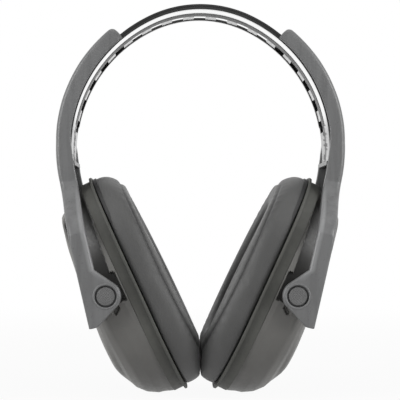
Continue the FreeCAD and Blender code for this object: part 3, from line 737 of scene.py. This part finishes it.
def make_arm(side, word, sizes):
    """An arm, as a half section carried down the arm's path and mirrored across its middle.

    The half section is an L, from the middle of the web round the lip and the outer edge and back
    to the middle; below the crotch its web draws back along an ellipse, which leaves the leg. The
    leg spreads along ramps with softened ends, and its inner edge is rounder down to the lug.
    """
    run, drop, point, outward, depth = arm_stations()
    inside = ARM_INSIDE + (LEG_INSIDE - ARM_INSIDE) * eased(drop, SPREAD_START, SPREAD_INSIDE)
    outside = ARM_OUTSIDE + (LEG_OUTSIDE - ARM_OUTSIDE) * eased(drop, 0, SPREAD_OUTSIDE)
    arch = np.clip((drop - CROTCH_DROP) / CROTCH_HEIGHT, 0, 1)
    web = inside * np.sqrt(np.clip(1 - (1 - arch) ** 2, 0, 1))
    inset = rounded_end(np.minimum(run, run[-1] - run), END_ROUND)
    outer = rounded_end(run, BROW_RADIUS) + inset
    under = np.maximum(np.minimum(outer + ARM_WEB - inset, ARM_MOUTH), outer + 0.3)
    edge, lip = sizes.arm_edge / MM, sizes.arm_lip / MM
    is_leg = (arch > 0).astype(float)
    full = (arch >= 1).astype(float)
    corners = [np.stack(pair, axis=1) for pair in (
        (web, under), (inside + inset * full, under),
        (inside + inset, depth - inset), (outside - inset, depth - inset),
        (outside - inset, outer), (web + inset * full, outer))]
    corners[0][:, 0] = np.where(full > 0, corners[1][:, 0], web)
    slim = LEG_EDGE + (edge - LEG_EDGE) * (1 - smoothstep(20, 46, drop))
    inner_edge = np.maximum(lip, np.interp(drop, EDGE_DROPS, (lip, *EDGE_RADII)))
    radii = (0.35 * is_leg * (1 - full), 0.8 * (1 - full), lip * np.ones_like(web), inner_edge,
             slim, 0.35 * is_leg + 0.65 * full)
    section = round_section(corners, radii, 7, 3)
    rows, columns = section.shape[:2]
    place = point[:, None] - outward[:, None] * section[..., 1:2]
    half = np.stack((place[..., 0], section[..., 0], place[..., 1]), axis=-1)
    quads = grid_quads(rows, columns, close_columns=True)
    quads = quads[half[..., 1].ravel()[quads].max(axis=1) >= 1e-6]
    other = half * np.array((1, -1, 1))
    caps = end_caps(rows, columns)
    points = np.concatenate((half.reshape(-1, 3), other.reshape(-1, 3)))
    shift = rows * columns
    # The mark lies on the rounded points of the corner between the lip and the outer side, down the
    # leg, and paints a highlight there.
    rim = np.zeros((rows, len(corners), columns // len(corners)))
    rim[:, 3, 1:7] = (smoothstep(3, 10, drop) * (1 - smoothstep(40, 52, drop)))[:, None]
    faces = (quads, quads + shift, caps, caps + shift)
    arm = add_piece(f"{word}_fork_arm", on_side(points, side), faces,
                    marks={"rim": np.concatenate((rim, rim))})
    for hand in (-1, 1):
        cut_away(arm, bore_cutter(side, hand))
    shade(arm.data, 40)
    even_normals(arm)
    return arm


def make_catch(side, word):
    """The bar across an arm under the strap's end: a rounded section slid from lip to lip."""
    section = plain_section(((-CATCH_LENGTH, 0.0), (0.0, 0.0), (0.0, -CATCH_THICK),
                             (-CATCH_LENGTH, -CATCH_THICK)), (CATCH_EDGE,) * 4, 5, 1)
    outward = np.array((math.sin(STRAP_END), math.cos(STRAP_END)))
    along = np.array((outward[1], -outward[0]))
    place = ARC_CENTRE + along * section[:, :1] + outward * (CATCH_RADIUS + section[:, 1:])
    across = np.array((-1, 1))[:, None] * (ARM_INSIDE + CATCH_SEAT) + 0 * place[:, 0]
    points = np.stack((place[:, 0] + 0 * across, across, place[:, 1] + 0 * across), axis=-1)
    columns = len(section)
    faces = (grid_quads(2, columns, close_columns=True), end_caps(2, columns))
    return add_piece(f"{word}_catch_bar", on_side(points, side), faces)


def pivot_turned(points, side, hand):
    """Points about a pin's own axis (X and Z across it, Y outwards) at its place on a cup."""
    return on_side(points * np.array((1, hand, 1)) + np.array((PIVOT[0], 0, PIVOT[1])), side)


def turned_profile(radius, height, count):
    """A profile of radii and heights turned about Y: x = r cos a, y = height, z = r sin a."""
    angle = np.linspace(0, 2 * math.pi, count, endpoint=False)[None]
    radius, height = np.asarray(radius, float)[:, None], np.asarray(height, float)[:, None]
    return np.stack((radius * np.cos(angle), height + 0 * angle, radius * np.sin(angle)), axis=-1)


def pin_place(side, hand):
    """The word for a pin's place, which the half turn about Z changes over on the left."""
    return "front" if hand * side < 0 else "rear"


def bore_cutter(side, hand):
    """The hole for the pin's shank and the counterbore for its head, as a plug past both faces."""
    radius = (0, HOLE_RADIUS, HOLE_RADIUS, BORE_RADIUS, BORE_RADIUS, 0)
    height = np.repeat((LEG_INSIDE - 1, BORE_BASE, LEG_OUTSIDE + 2), 2)
    points = turned_profile(radius, height, 72)
    faces = (grid_quads(len(radius), 72, close_columns=True),)
    return add_piece("bore_plug", pivot_turned(points, side, hand), faces)


def make_bezel(side, hand, word):
    """The raised rim round a counterbore: an arc turned about the pin's axis, in millimetres
    r = bore + 0.5 - 0.45 cos t and h = face - 0.05 + 0.28 sin t, with a foot in the leg."""
    turn = np.linspace(0, math.pi, 9)
    radius = BORE_RADIUS + 0.5 - 0.45 * np.cos(turn)
    height = LEG_OUTSIDE - 0.05 + 0.28 * np.sin(turn)
    radius = np.concatenate((radius, (radius[-1], radius[0])))
    height = np.concatenate((height, (LEG_OUTSIDE - 0.8, LEG_OUTSIDE - 0.8)))
    points = turned_profile(radius, height, 96)
    faces = (grid_quads(len(radius), 96, close_rows=True, close_columns=True),)
    name = f"{word}_{pin_place(side, hand)}_bore_rim"
    return add_piece(name, pivot_turned(points, side, hand), faces)


def dress_arms(sizes, colours):
    """Both arms, the rims round their counterbores and their catch bars."""
    # The arm's finish paints a highlight, 1.7 times its grey, on the rounded inner edges of the
    # legs.
    finish = moulded_plastic("arm_satin_grey", colours.arm, 0.33, 1.6e-5, (4, 4, 0.35), 0.11, 1.5,
                             marks=(("rim", 1.7),))
    # The rims round the counterbores take a lighter copy of the arm's grey: painted light on the
    # raised rims.
    bezels = moulded_plastic("bore_rim_lit_grey", scaled(colours.arm, 1.12), 0.4, 8e-6)
    for side, word in SIDES:
        arm = make_arm(side, word, sizes)
        finish_piece(arm, finish, f"{word}_arm", "arm", f"{word}_arm")
        for hand in (-1, 1):
            bezel = make_bezel(side, hand, word)
            finish_piece(bezel, bezels, f"{word}_arm", "arm")
        finish_piece(make_catch(side, word), finish, f"{word}_arm", "arm", f"{word}_strap_catch")


# ---- pivot pins ----

def make_pin(side, hand, word, sizes):
    """A pin with a knurled head: its face is pyramids of a square grid at 45 degrees, fading out
    towards the rim, h = k T(x + z) T(x - z), where T(u) = |2 frac(u / (p sqrt 2)) - 1|."""
    pitch, tall = sizes.knurl_pitch / MM, sizes.knurl_depth / MM
    rings, count = 44, 144
    flat = HEAD_RADIUS - HEAD_EDGE
    radius = np.linspace(0, flat, rings)[:, None]
    angle = np.linspace(0, 2 * math.pi, count, endpoint=False)[None]
    x, z = radius * np.cos(angle), radius * np.sin(angle)
    wave = [np.abs(((part / (pitch * math.sqrt(2))) % 1) * 2 - 1) for part in (x + z, x - z)]
    fade = 1 - smoothstep(HEAD_RADIUS - 0.75, HEAD_RADIUS - 0.35, radius)
    bumps = tall * wave[0] * wave[1] * fade
    face = np.stack((x, HEAD_TOP - tall + bumps, z), axis=-1)
    turn = np.linspace(0, math.pi / 2, 6)[1:]
    rim_radius = np.concatenate((flat + HEAD_EDGE * np.sin(turn), (HEAD_RADIUS,) * 2,
                                 (SHANK_RADIUS, SHANK_RADIUS, 0)))
    rim_height = np.concatenate((HEAD_TOP - tall - HEAD_EDGE + HEAD_EDGE * np.cos(turn),
                                 (HEAD_TOP - 0.8, HEAD_BASE, HEAD_BASE, SHANK_END, SHANK_END)))
    points = np.concatenate((face, turned_profile(rim_radius, rim_height, count)))
    faces = (grid_quads(len(points), count, close_columns=True),)
    name = f"{word}_{pin_place(side, hand)}_knurled_pin"
    return add_piece(name, pivot_turned(points, side, hand), faces)


def dress_pins(sizes, colours):
    """Four pivot pins, which turn with the cups."""
    finish = moulded_plastic("pin_knurled_grey", colours.pin, 0.42, 6e-6, contrast=0.08)
    for side, word in SIDES:
        for hand in (-1, 1):
            pin = make_pin(side, hand, word, sizes)
            node = f"{word}_{pin_place(side, hand)}_pivot_pin"
            finish_piece(pin, finish, f"{word}_cup", "pivot_pin", node)


# ---- cup shells and base rings ----

# The shell's outline by height above the flange plane: half width, lower and upper reach.
SHELL_HEIGHT = (6.2, 9.0, 11.7, 15.8, 20.2, 21.0, 21.9, 24.0, 25.6, 27.2, 27.8, 28.6, 29.0, 29.2,
                29.3)
SHELL_WIDTH = (39.6, 39.6, 39.3, 39.0, 38.6, 38.3, 37.6, 35.5, 32.8, 28.6, 26.3, 21.6, 16.0, 9.0,
               0.0)
SHELL_LOWER = (55.4, 54.8, 54.2, 53.25, 50.7, 50.0, 49.0, 46.7, 43.1, 38.6, 37.0, 34.4, 32.0, 30.4,
               29.0)
SHELL_UPPER = (50.6, 49.1, 47.7, 45.4, 42.8, 42.0, 39.8, 30.5, 19.0, 1.5, -5.0, -13.5, -20.5,
               -25.5, -29.0)


def shell_rows():
    """Finely spaced rows of the shell: height, half width, lower reach and upper reach."""
    reach = np.concatenate(([0], np.cumsum(np.hypot(np.diff(SHELL_HEIGHT), np.diff(SHELL_WIDTH)))))
    along = np.concatenate((np.linspace(0, reach[-1], 110), reach[:6], reach[4:7] - 0.2))
    return [np.interp(np.unique(along), reach, part)
            for part in (SHELL_HEIGHT, SHELL_WIDTH, SHELL_LOWER, SHELL_UPPER)]


def beside_leg(y):
    """A share that grows from 0 to 1 towards the cup's front and rear, where the legs are."""
    return smoothstep(14, 26, np.abs(y))


def make_shell(side, word, sizes):
    """A cup shell: rounded outlines stacked from the base ring to the cap, drawn in beside the
    legs. The draw is depth * A * B * C * D: A steps up across the line that the wall keeps next
    to the ring, B steps down past the crease, C steps up from the lower edge of the pocket and D
    steps up towards the legs."""
    height, width, lower, upper = shell_rows()
    corner = np.minimum(width - 2.0, (lower + upper) / 2 - 0.5)
    outline = outline_grid(width, lower, upper, np.maximum(corner, 0.01), 60, 44, 6)
    y, z = outline[..., 0], outline[..., 1]
    x = height[:, None] + 0 * y
    ledge = np.interp(z, (-6, 8.2, 8.6, 34, 50), (7.0, 7.0, 9.4, 6.4, 6.2))
    draw = (smoothstep(ledge, ledge + 0.7, x) * (1 - smoothstep(19.5, 24, x))
            * smoothstep(-5.6, -4.9, z) * beside_leg(y))
    y = y - np.sign(y) * (draw * sizes.recess_depth / MM + slot_draw(x, z) * beside_leg(y))
    points = flange_lean(np.stack((x, y, z), axis=-1), 1 - smoothstep(RING_HEIGHT, 14.0, x))
    rows, columns = points.shape[:2]
    points[-1] = points[-1].mean(axis=0)
    faces = (grid_quads(rows, columns, close_columns=True),)
    # Marks painted on the shell: the pocket beside the legs is painted darker as shade, and the
    # facet below the pocket is painted lighter as a highlight.
    above = smoothstep(-4.9, -4.0, z) * beside_leg(y)
    marks = {"hollow_shade": draw, "ledge": above * (1 - smoothstep(ledge - 0.2, ledge + 0.3, x))}
    shell = add_piece(f"{word}_cup_cover", cup_points(points, side), faces, 30, marks)
    turn_outwards(shell)
    wall = shell.modifiers.new("wall", "SOLIDIFY")
    wall.thickness = sizes.shell_wall
    wall.offset = -1
    keep_result(shell)
    shade(shell.data, 30)
    return shell


def slot_draw(x, z):
    """How deep the short oval slot below the lug is: the distance to a leaning line, stepped
    down."""
    start, end = np.array((13.9, -7.1)), np.array((15.9, -8.7))
    line = end - start
    across, up = x - start[0], z - start[1]
    along = np.clip((across * line[0] + up * line[1]) / np.sum(line ** 2), 0, 1)
    gap = np.hypot(across - along * line[0], up - along * line[1])
    return 1.6 * (1 - smoothstep(0.6, 1.1, gap))


def turn_outwards(piece):
    """Flip an open shell whose faces look towards its own middle."""
    centre = read_vectors(piece.data.polygons, "center")
    normal = read_vectors(piece.data.polygons, "normal")
    if np.sum((centre - centre.mean(axis=0)) * normal) < 0:
        piece.data.flip_normals()


def make_ring(side, word, sizes):
    """A base ring: a closed section carried round the flange's outline. The section's outer part
    is the outline drawn in by an inset, and its inner part is the ear opening's outline."""
    edge = sizes.ring_edge / MM
    section = plain_section(
        ((0.0, LIP_THICK), (LIP_REACH, LIP_THICK), (LIP_REACH, RING_HEIGHT),
         (RING_WIDTH, RING_HEIGHT), (RING_WIDTH, 0.0), (0.0, 0.0)),
        (edge, 0.25, edge, 0.5, 0.5, edge), 5, 2)
    inset, height = section[:, 0], section[:, 1]
    inner = smoothstep(LIP_REACH + 1, 8.0, inset)
    outer_line = outline_grid(*drawn_in(FLANGE, np.minimum(inset, LIP_REACH + 1)))
    inner_line = outline_grid(*drawn_in(OPENING, inset - RING_WIDTH))
    line = outer_line * (1 - inner[:, None, None]) + inner_line * inner[:, None, None]
    points = raised(line, height[:, None, None])
    rows, columns = points.shape[:2]
    faces = (grid_quads(rows, columns, close_rows=True, close_columns=True),)
    points = flange_lean(points, np.ones((rows, columns)))
    ring = add_piece(f"{word}_flange_ring", cup_points(points, side), faces, 50)
    even_normals(ring)
    return ring


def dress_cups(sizes, colours):
    """Both cup shells, base rings and snap plates."""
    # The shell's finish paints shade into the pockets at 0.25 of its tone and paints a highlight on
    # the facets at 1.45.
    shells = moulded_plastic("shell_warm_grey", colours.shell, 0.44, 1.2e-5, (1, 1, 0.6), 0.07,
                             marks=(("hollow_shade", 0.25), ("ledge", 1.45)))
    rings = moulded_plastic("ring_dark_olive", colours.ring, 0.6, 2.6e-5, contrast=0.13,
                            grain=3400.0)
    plates = moulded_plastic("inner_black", colours.inner, 0.5, 1.5e-5, contrast=0.2)
    for side, word in SIDES:
        finish_piece(make_shell(side, word, sizes), shells, f"{word}_cup", "cup_shell",
                     f"{word}_cup_shell")
        finish_piece(make_ring(side, word, sizes), rings, f"{word}_cup", "base_ring",
                     f"{word}_base_ring")
        coat(NODES[f"{word}_snap_plate"].data, plates)


# ---- soft pieces ----

def swell(piece, held, most):
    """Blow a closed skin up with cloth under pressure, its held points fixed, and keep each point
    within the most that it may move. The skin is worked larger than it is, which cloth suits."""
    mesh = piece.data
    start = read_vectors(mesh.vertices, "co")
    mesh.vertices.foreach_set("co", (start * CLOTH_SCALE).ravel())
    group = piece.vertex_groups.new(name="held")
    group.add(np.flatnonzero(held).tolist(), 1.0, "REPLACE")
    cloth = piece.modifiers.new("air", "CLOTH")
    cloth.settings.quality = 6
    cloth.settings.mass = 0.3
    cloth.settings.use_pressure = True
    cloth.settings.uniform_pressure_force = 4
    cloth.settings.effector_weights.gravity = 0
    cloth.settings.vertex_group_mass = group.name
    cloth.point_cache.frame_start, cloth.point_cache.frame_end = 1, CLOTH_FRAMES
    scene = bpy.context.scene
    for moment in range(1, CLOTH_FRAMES + 1):
        scene.frame_set(moment)
    result = piece.evaluated_get(bpy.context.evaluated_depsgraph_get()).to_mesh()
    blown = read_vectors(result.vertices, "co")
    scene.frame_set(1)
    piece.modifiers.clear()
    piece.vertex_groups.clear()
    move = blown / CLOTH_SCALE - start
    length = np.linalg.norm(move, axis=1, keepdims=True)
    return start + move / np.maximum(length, 1e-12) * most * np.tanh(length / most)


def clear_of_middle(points, side):
    """Points in metres, none of them past the small gap at the middle plane."""
    points[:, 0] = side * np.maximum(side * points[:, 0], MIDDLE_GAP * MM)
    return points


def make_cushion(side, word, sizes):
    """A padded ring: a soft-cornered section carried round the flange's outline and blown up.

    The section runs in r, from the ear opening (0) to the outer outline (1), and in depth. After
    the cloth, the seam is a groove -d exp(-(v/w)^2) along one line of the section, with a raised
    piping of the same form and small puckers sin(61 u + 1.3 sin 7 u) on each side of it.
    """
    big = sizes.cushion_corner / MM
    section = plain_section(((0.0, PAD_BASE), (0.0, -PAD_DEPTH), (PAD_WIDTH, -PAD_DEPTH),
                             (PAD_WIDTH, PAD_BASE)), (0.6, 4.2, big, 0.8), PAD_STEPS, PAD_FLATS)
    share, depth = section[:, 0] / PAD_WIDTH, section[:, 1]
    bow = PAD_BOW * np.sin(math.pi * np.clip(-depth / PAD_DEPTH, 0, 1)) * (share > 0.6)
    half_width, bottom, top, corner = drawn_in(FLANGE, 2.2 - bow)
    taper = PAD_TAPER * (depth / PAD_DEPTH) ** 2
    outer_line = outline_grid(half_width, bottom - taper, top - taper, corner)
    inner_line = outline_grid(*drawn_in(OPENING, 1.0 + 0 * bow))
    line = inner_line + (outer_line - inner_line) * share[:, None, None]
    points = raised(line, depth[:, None, None])
    rows, columns = points.shape[:2]
    points = flange_lean(points, 1 + points[..., 0] / PAD_DEPTH)
    faces = (grid_quads(rows, columns, close_rows=True, close_columns=True),)
    seam_row = 2 * (PAD_STEPS + PAD_FLATS) + 5
    from_seam = (np.arange(rows) - seam_row)[:, None] + np.zeros((1, columns))
    groove, piping = np.exp(-(from_seam / 1.3) ** 2), np.exp(-((from_seam + 3.0) / 1.2) ** 2)
    # The seam mark paints shade into the groove and the piping mark paints a highlight along the
    # piping.
    marks = {"seam": groove, "piping": piping}
    cushion = add_piece(f"{word}_padded_cushion", cup_points(points, side), faces, marks=marks)
    held = np.repeat(depth > -1.0, columns)
    blown = clear_of_middle(swell(cushion, held, sizes.cushion_swell), side)
    set_points(cushion.data, blown)
    around = np.linspace(0, 2 * math.pi, columns, endpoint=False)[None]
    ripple = 0.22 * np.sin(61 * around + 1.3 * np.sin(7 * around))
    pucker = ripple * np.exp(-((np.abs(from_seam) - 2.5) / 2.2) ** 2)
    lift = (sizes.seam_depth * (0.5 * piping - groove + pucker)).ravel()
    moved = blown + read_vectors(cushion.data.vertices, "normal") * lift[:, None]
    set_points(cushion.data, clear_of_middle(moved, side))
    smooth = cushion.modifiers.new("smooth", "SUBSURF")
    smooth.levels = smooth.render_levels = 1
    return cushion


def dress_cushions(sizes, colours):
    """Both cushions, in leatherette over their foam."""
    finish = leatherette_finish(colours)
    for side, word in SIDES:
        cushion = make_cushion(side, word, sizes)
        finish_piece(cushion, finish, f"{word}_cup", "cushion_skin", f"{word}_cushion_skin",
                     f"{word}_cushion_foam")


def make_liner(side, word):
    """The acoustic liner: outlines drawn in over a rounded edge, its face crowned by a low dome
    with shallow dimples, h = 1.1 (1 - r^2) + 0.25 (1 - r) sin 0.9y sin 0.9z, where r is 0 at the
    middle and 1 at the edge."""
    turn = np.linspace(0, math.pi / 2, 7)
    flat = np.linspace(2.4, 29.2, 26)
    inset = np.concatenate(((0,), LINER_EDGE * (1 - np.cos(turn)), flat))
    depth = np.concatenate(((LINER_BACK,), 14.2 - 1.5 * np.sin(turn), 0 * flat + LINER_FACE))
    line = outline_grid(*drawn_in(LINER, inset))
    share = 1 - np.clip(inset / LINER[0], 0, 1)[:, None]
    dimples = 0.25 * np.sin(line[..., 0] * 0.9) * np.sin(line[..., 1] * 0.9)
    dome = 1.1 * (1 - share ** 2) + dimples * (1 - share)
    x = depth[:, None] - np.where(inset[:, None] > LINER_EDGE, dome, 0)
    front = raised(line, x[..., None])
    points = np.concatenate((np.array((LINER_BACK, 0, LINER_CENTRE)) + 0 * front[:1], front))
    rows, columns = points.shape[:2]
    points[-1] = points[-1].mean(axis=0)
    faces = (grid_quads(rows, columns, close_columns=True),)
    return add_piece(f"{word}_foam_liner", cup_points(points, side), faces, 60)


def dress_liners(sizes, colours):
    """Both acoustic liners, in black open-cell foam."""
    finish = foam_finish("liner_foam", colours.foam)
    for side, word in SIDES:
        liner = make_liner(side, word)
        finish_piece(liner, finish, f"{word}_cup", "liner_foam", f"{word}_acoustic_liner")


# ---- stage ----

CAMERA_DISTANCE = 0.668
CAMERA_AZIMUTH = math.radians(-1.1)
CAMERA_ELEVATION = math.radians(-1.0)
CAMERA_LENS = 125.0
SKY_LEVEL = 0.33

# Softboxes: name, place, power, width and height.
LAMPS = (("left_softbox", (-1.0, -0.5, 0.1), 11.5, 0.6, 1.1),
         ("right_softbox", (1.0, -0.5, 0.1), 11.5, 0.6, 1.1),
         ("top_softbox", (0.0, -0.35, 1.1), 3.0, 1.0, 0.8))


def seen_directly(tree):
    """1 for camera, glossy and transmitted rays, and 0 for the rays that light things."""
    rays = add_node(tree, "ShaderNodeLightPath")
    seen = rays.outputs["Is Camera Ray"]
    for name in ("Is Glossy Ray", "Is Transmission Ray"):
        seen = combine(tree, "MAXIMUM", seen, rays.outputs[name])
    return seen


def mix_light(tree, kind, share, surface):
    """A surface or sky changed to plain white light for a share."""
    white = add_node(tree, kind, inputs={"Color": (1, 1, 1, 1), "Strength": 1.0})
    mix = add_node(tree, "ShaderNodeMixShader")
    for source, socket in zip((share, surface, white.outputs[0]), mix.inputs):
        link(tree, source, socket)
    return mix.outputs[0]


def make_floor():
    """A wide pale floor just under the lowest cup, with a faint grain."""
    low = CAD_BOX[0][2] / MM - 0.4
    line = np.linspace(-2500, 2500, 9)
    x, y = np.meshgrid(line, line, indexing="ij")
    points = np.stack((x, y, low + 0 * x), axis=-1)
    floor = add_piece("floor", points, (grid_quads(9, 9),))
    if floor.data.polygons[0].normal.z < 0:
        floor.data.flip_normals()
    material, tree, shader = new_finish("floor_pale", {"Specular IOR Level": 0.1})
    grain = noise(tree, 30.0, 3)
    tone = blend_tones(tree, grain, (0.5,) * 3, (0.55,) * 3)
    link(tree, tone, shader.inputs["Base Color"])
    link(tree, remap(tree, grain, 0.3, 0.7, 0.85, 0.95), shader.inputs["Roughness"])
    output = next(item for item in tree.nodes if item.type == "OUTPUT_MATERIAL")
    away = add_node(tree, "ShaderNodeVectorMath", {"operation": "LENGTH"})
    link(tree, object_coordinates(tree), away.inputs[0])
    share = remap(tree, away.outputs["Value"], 0.2, 0.8, 0.94, 1.0)
    share = multiply(tree, seen_directly(tree), share)
    white = mix_light(tree, "ShaderNodeEmission", share, shader.outputs["BSDF"])
    link(tree, white, output.inputs["Surface"])
    coat(floor.data, material)


def make_world(level):
    """A plain grey sky for light, which is white to the camera and in reflections."""
    world = bpy.data.worlds.new("studio")
    bpy.context.scene.world = world
    world.use_nodes = True
    tree = world.node_tree
    tree.nodes.clear()
    sky = add_node(tree, "ShaderNodeBackground", inputs={"Color": (1, 1, 1, 1), "Strength": level})
    output = add_node(tree, "ShaderNodeOutputWorld")
    white = mix_light(tree, "ShaderNodeBackground", seen_directly(tree), sky.outputs[0])
    link(tree, white, output.inputs["Surface"])


def add_lamp(name, place, power, width, height):
    """A softbox that faces the middle of the object."""
    light = bpy.data.lights.new(name, "AREA")
    light.shape = "RECTANGLE"
    light.size, light.size_y, light.energy = width, height, power
    lamp = bpy.data.objects.new(name, light)
    lamp.location = place
    aim_at(lamp, middle_of_object())
    bpy.context.scene.collection.objects.link(lamp)


def middle_of_object():
    return np.array((0.0, 0.0, (CAD_BOX[0][2] + CAD_BOX[1][2]) / 2))


def aim_at(item, target):
    """Turn a lamp or the camera so that its -Z axis points at a target."""
    away = np.array(tuple(item.location)) - target
    yaw = math.atan2(away[0], -away[1])
    pitch = math.atan2(math.hypot(away[0], away[1]), away[2])
    item.rotation_euler = (pitch, 0.0, yaw)


def make_camera():
    """The camera, level with the middle of the object and a little to one side of its front."""
    data = bpy.data.cameras.new("camera")
    data.lens = CAMERA_LENS
    data.sensor_width = 36.0
    camera = bpy.data.objects.new("camera", data)
    flat = CAMERA_DISTANCE * math.cos(CAMERA_ELEVATION)
    target = middle_of_object()
    camera.location = target + np.array((
        flat * math.sin(CAMERA_AZIMUTH), -flat * math.cos(CAMERA_AZIMUTH),
        CAMERA_DISTANCE * math.sin(CAMERA_ELEVATION)))
    aim_at(camera, target)
    bpy.context.scene.collection.objects.link(camera)
    bpy.context.scene.camera = camera


def make_stage():
    """Floor, sky, softboxes and camera."""
    make_floor()
    make_world(SKY_LEVEL)
    for lamp in LAMPS:
        add_lamp(*lamp)
    bpy.context.scene.view_settings.view_transform = "Standard"
    make_camera()


# ---- add-on ----

def run_step(step, context):
    """Build one group of pieces from the scene's sizes and colours."""
    step(context.scene.earmuff_sizes, context.scene.earmuff_colours)
    return {"FINISHED"}


class EARMUFFS_OT_headband(bpy.types.Operator):
    """Dress the headband strap and its end stops"""
    bl_idname = "earmuffs.headband"
    bl_label = "Headband"

    def execute(self, context):
        return run_step(dress_headband, context)


class EARMUFFS_OT_arms(bpy.types.Operator):
    """Build the forked arms, the rims of their bores and their catches"""
    bl_idname = "earmuffs.arms"
    bl_label = "Arms"

    def execute(self, context):
        return run_step(dress_arms, context)


class EARMUFFS_OT_pins(bpy.types.Operator):
    """Build the knurled pivot pins"""
    bl_idname = "earmuffs.pins"
    bl_label = "Pivot pins"

    def execute(self, context):
        return run_step(dress_pins, context)


class EARMUFFS_OT_cups(bpy.types.Operator):
    """Build the cup shells and base rings"""
    bl_idname = "earmuffs.cups"
    bl_label = "Cups"

    def execute(self, context):
        return run_step(dress_cups, context)


class EARMUFFS_OT_cushions(bpy.types.Operator):
    """Build the padded cushions"""
    bl_idname = "earmuffs.cushions"
    bl_label = "Cushions"

    def execute(self, context):
        return run_step(dress_cushions, context)


class EARMUFFS_OT_liners(bpy.types.Operator):
    """Build the acoustic liners"""
    bl_idname = "earmuffs.liners"
    bl_label = "Acoustic liners"

    def execute(self, context):
        return run_step(dress_liners, context)


class EARMUFFS_OT_stage(bpy.types.Operator):
    """Set up the floor, lights and camera"""
    bl_idname = "earmuffs.stage"
    bl_label = "Stage"

    def execute(self, context):
        make_stage()
        return {"FINISHED"}


OPERATORS = (EARMUFFS_OT_headband, EARMUFFS_OT_arms, EARMUFFS_OT_pins, EARMUFFS_OT_cups,
             EARMUFFS_OT_cushions, EARMUFFS_OT_liners, EARMUFFS_OT_stage)


class EARMUFFS_PT_panel(bpy.types.Panel):
    """Sizes, colours and steps in the sidebar of the 3D view"""
    bl_label = "Earmuffs"
    bl_idname = "EARMUFFS_PT_panel"
    bl_space_type = "VIEW_3D"
    bl_region_type = "UI"
    bl_category = "Earmuffs"

    def draw(self, context):
        for group in (context.scene.earmuff_sizes, context.scene.earmuff_colours):
            box = self.layout.box()
            for name in group.__annotations__:
                box.prop(group, name)
        for operator in OPERATORS:
            self.layout.operator(operator.bl_idname)


CLASSES = (EarmuffSizes, EarmuffColours) + OPERATORS + (EARMUFFS_PT_panel,)


def register():
    for item in CLASSES:
        bpy.utils.register_class(item)
    bpy.types.Scene.earmuff_sizes = bpy.props.PointerProperty(type=EarmuffSizes)
    bpy.types.Scene.earmuff_colours = bpy.props.PointerProperty(type=EarmuffColours)


def unregister():
    del bpy.types.Scene.earmuff_colours
    del bpy.types.Scene.earmuff_sizes
    for item in reversed(CLASSES):
        bpy.utils.unregister_class(item)


def main():
    register()
    bpy.ops.earmuffs.headband()
    bpy.ops.earmuffs.arms()
    bpy.ops.earmuffs.pins()
    bpy.ops.earmuffs.cups()
    bpy.ops.earmuffs.cushions()
    bpy.ops.earmuffs.liners()
    bpy.ops.earmuffs.stage()


if __name__ == "__main__":
    main()
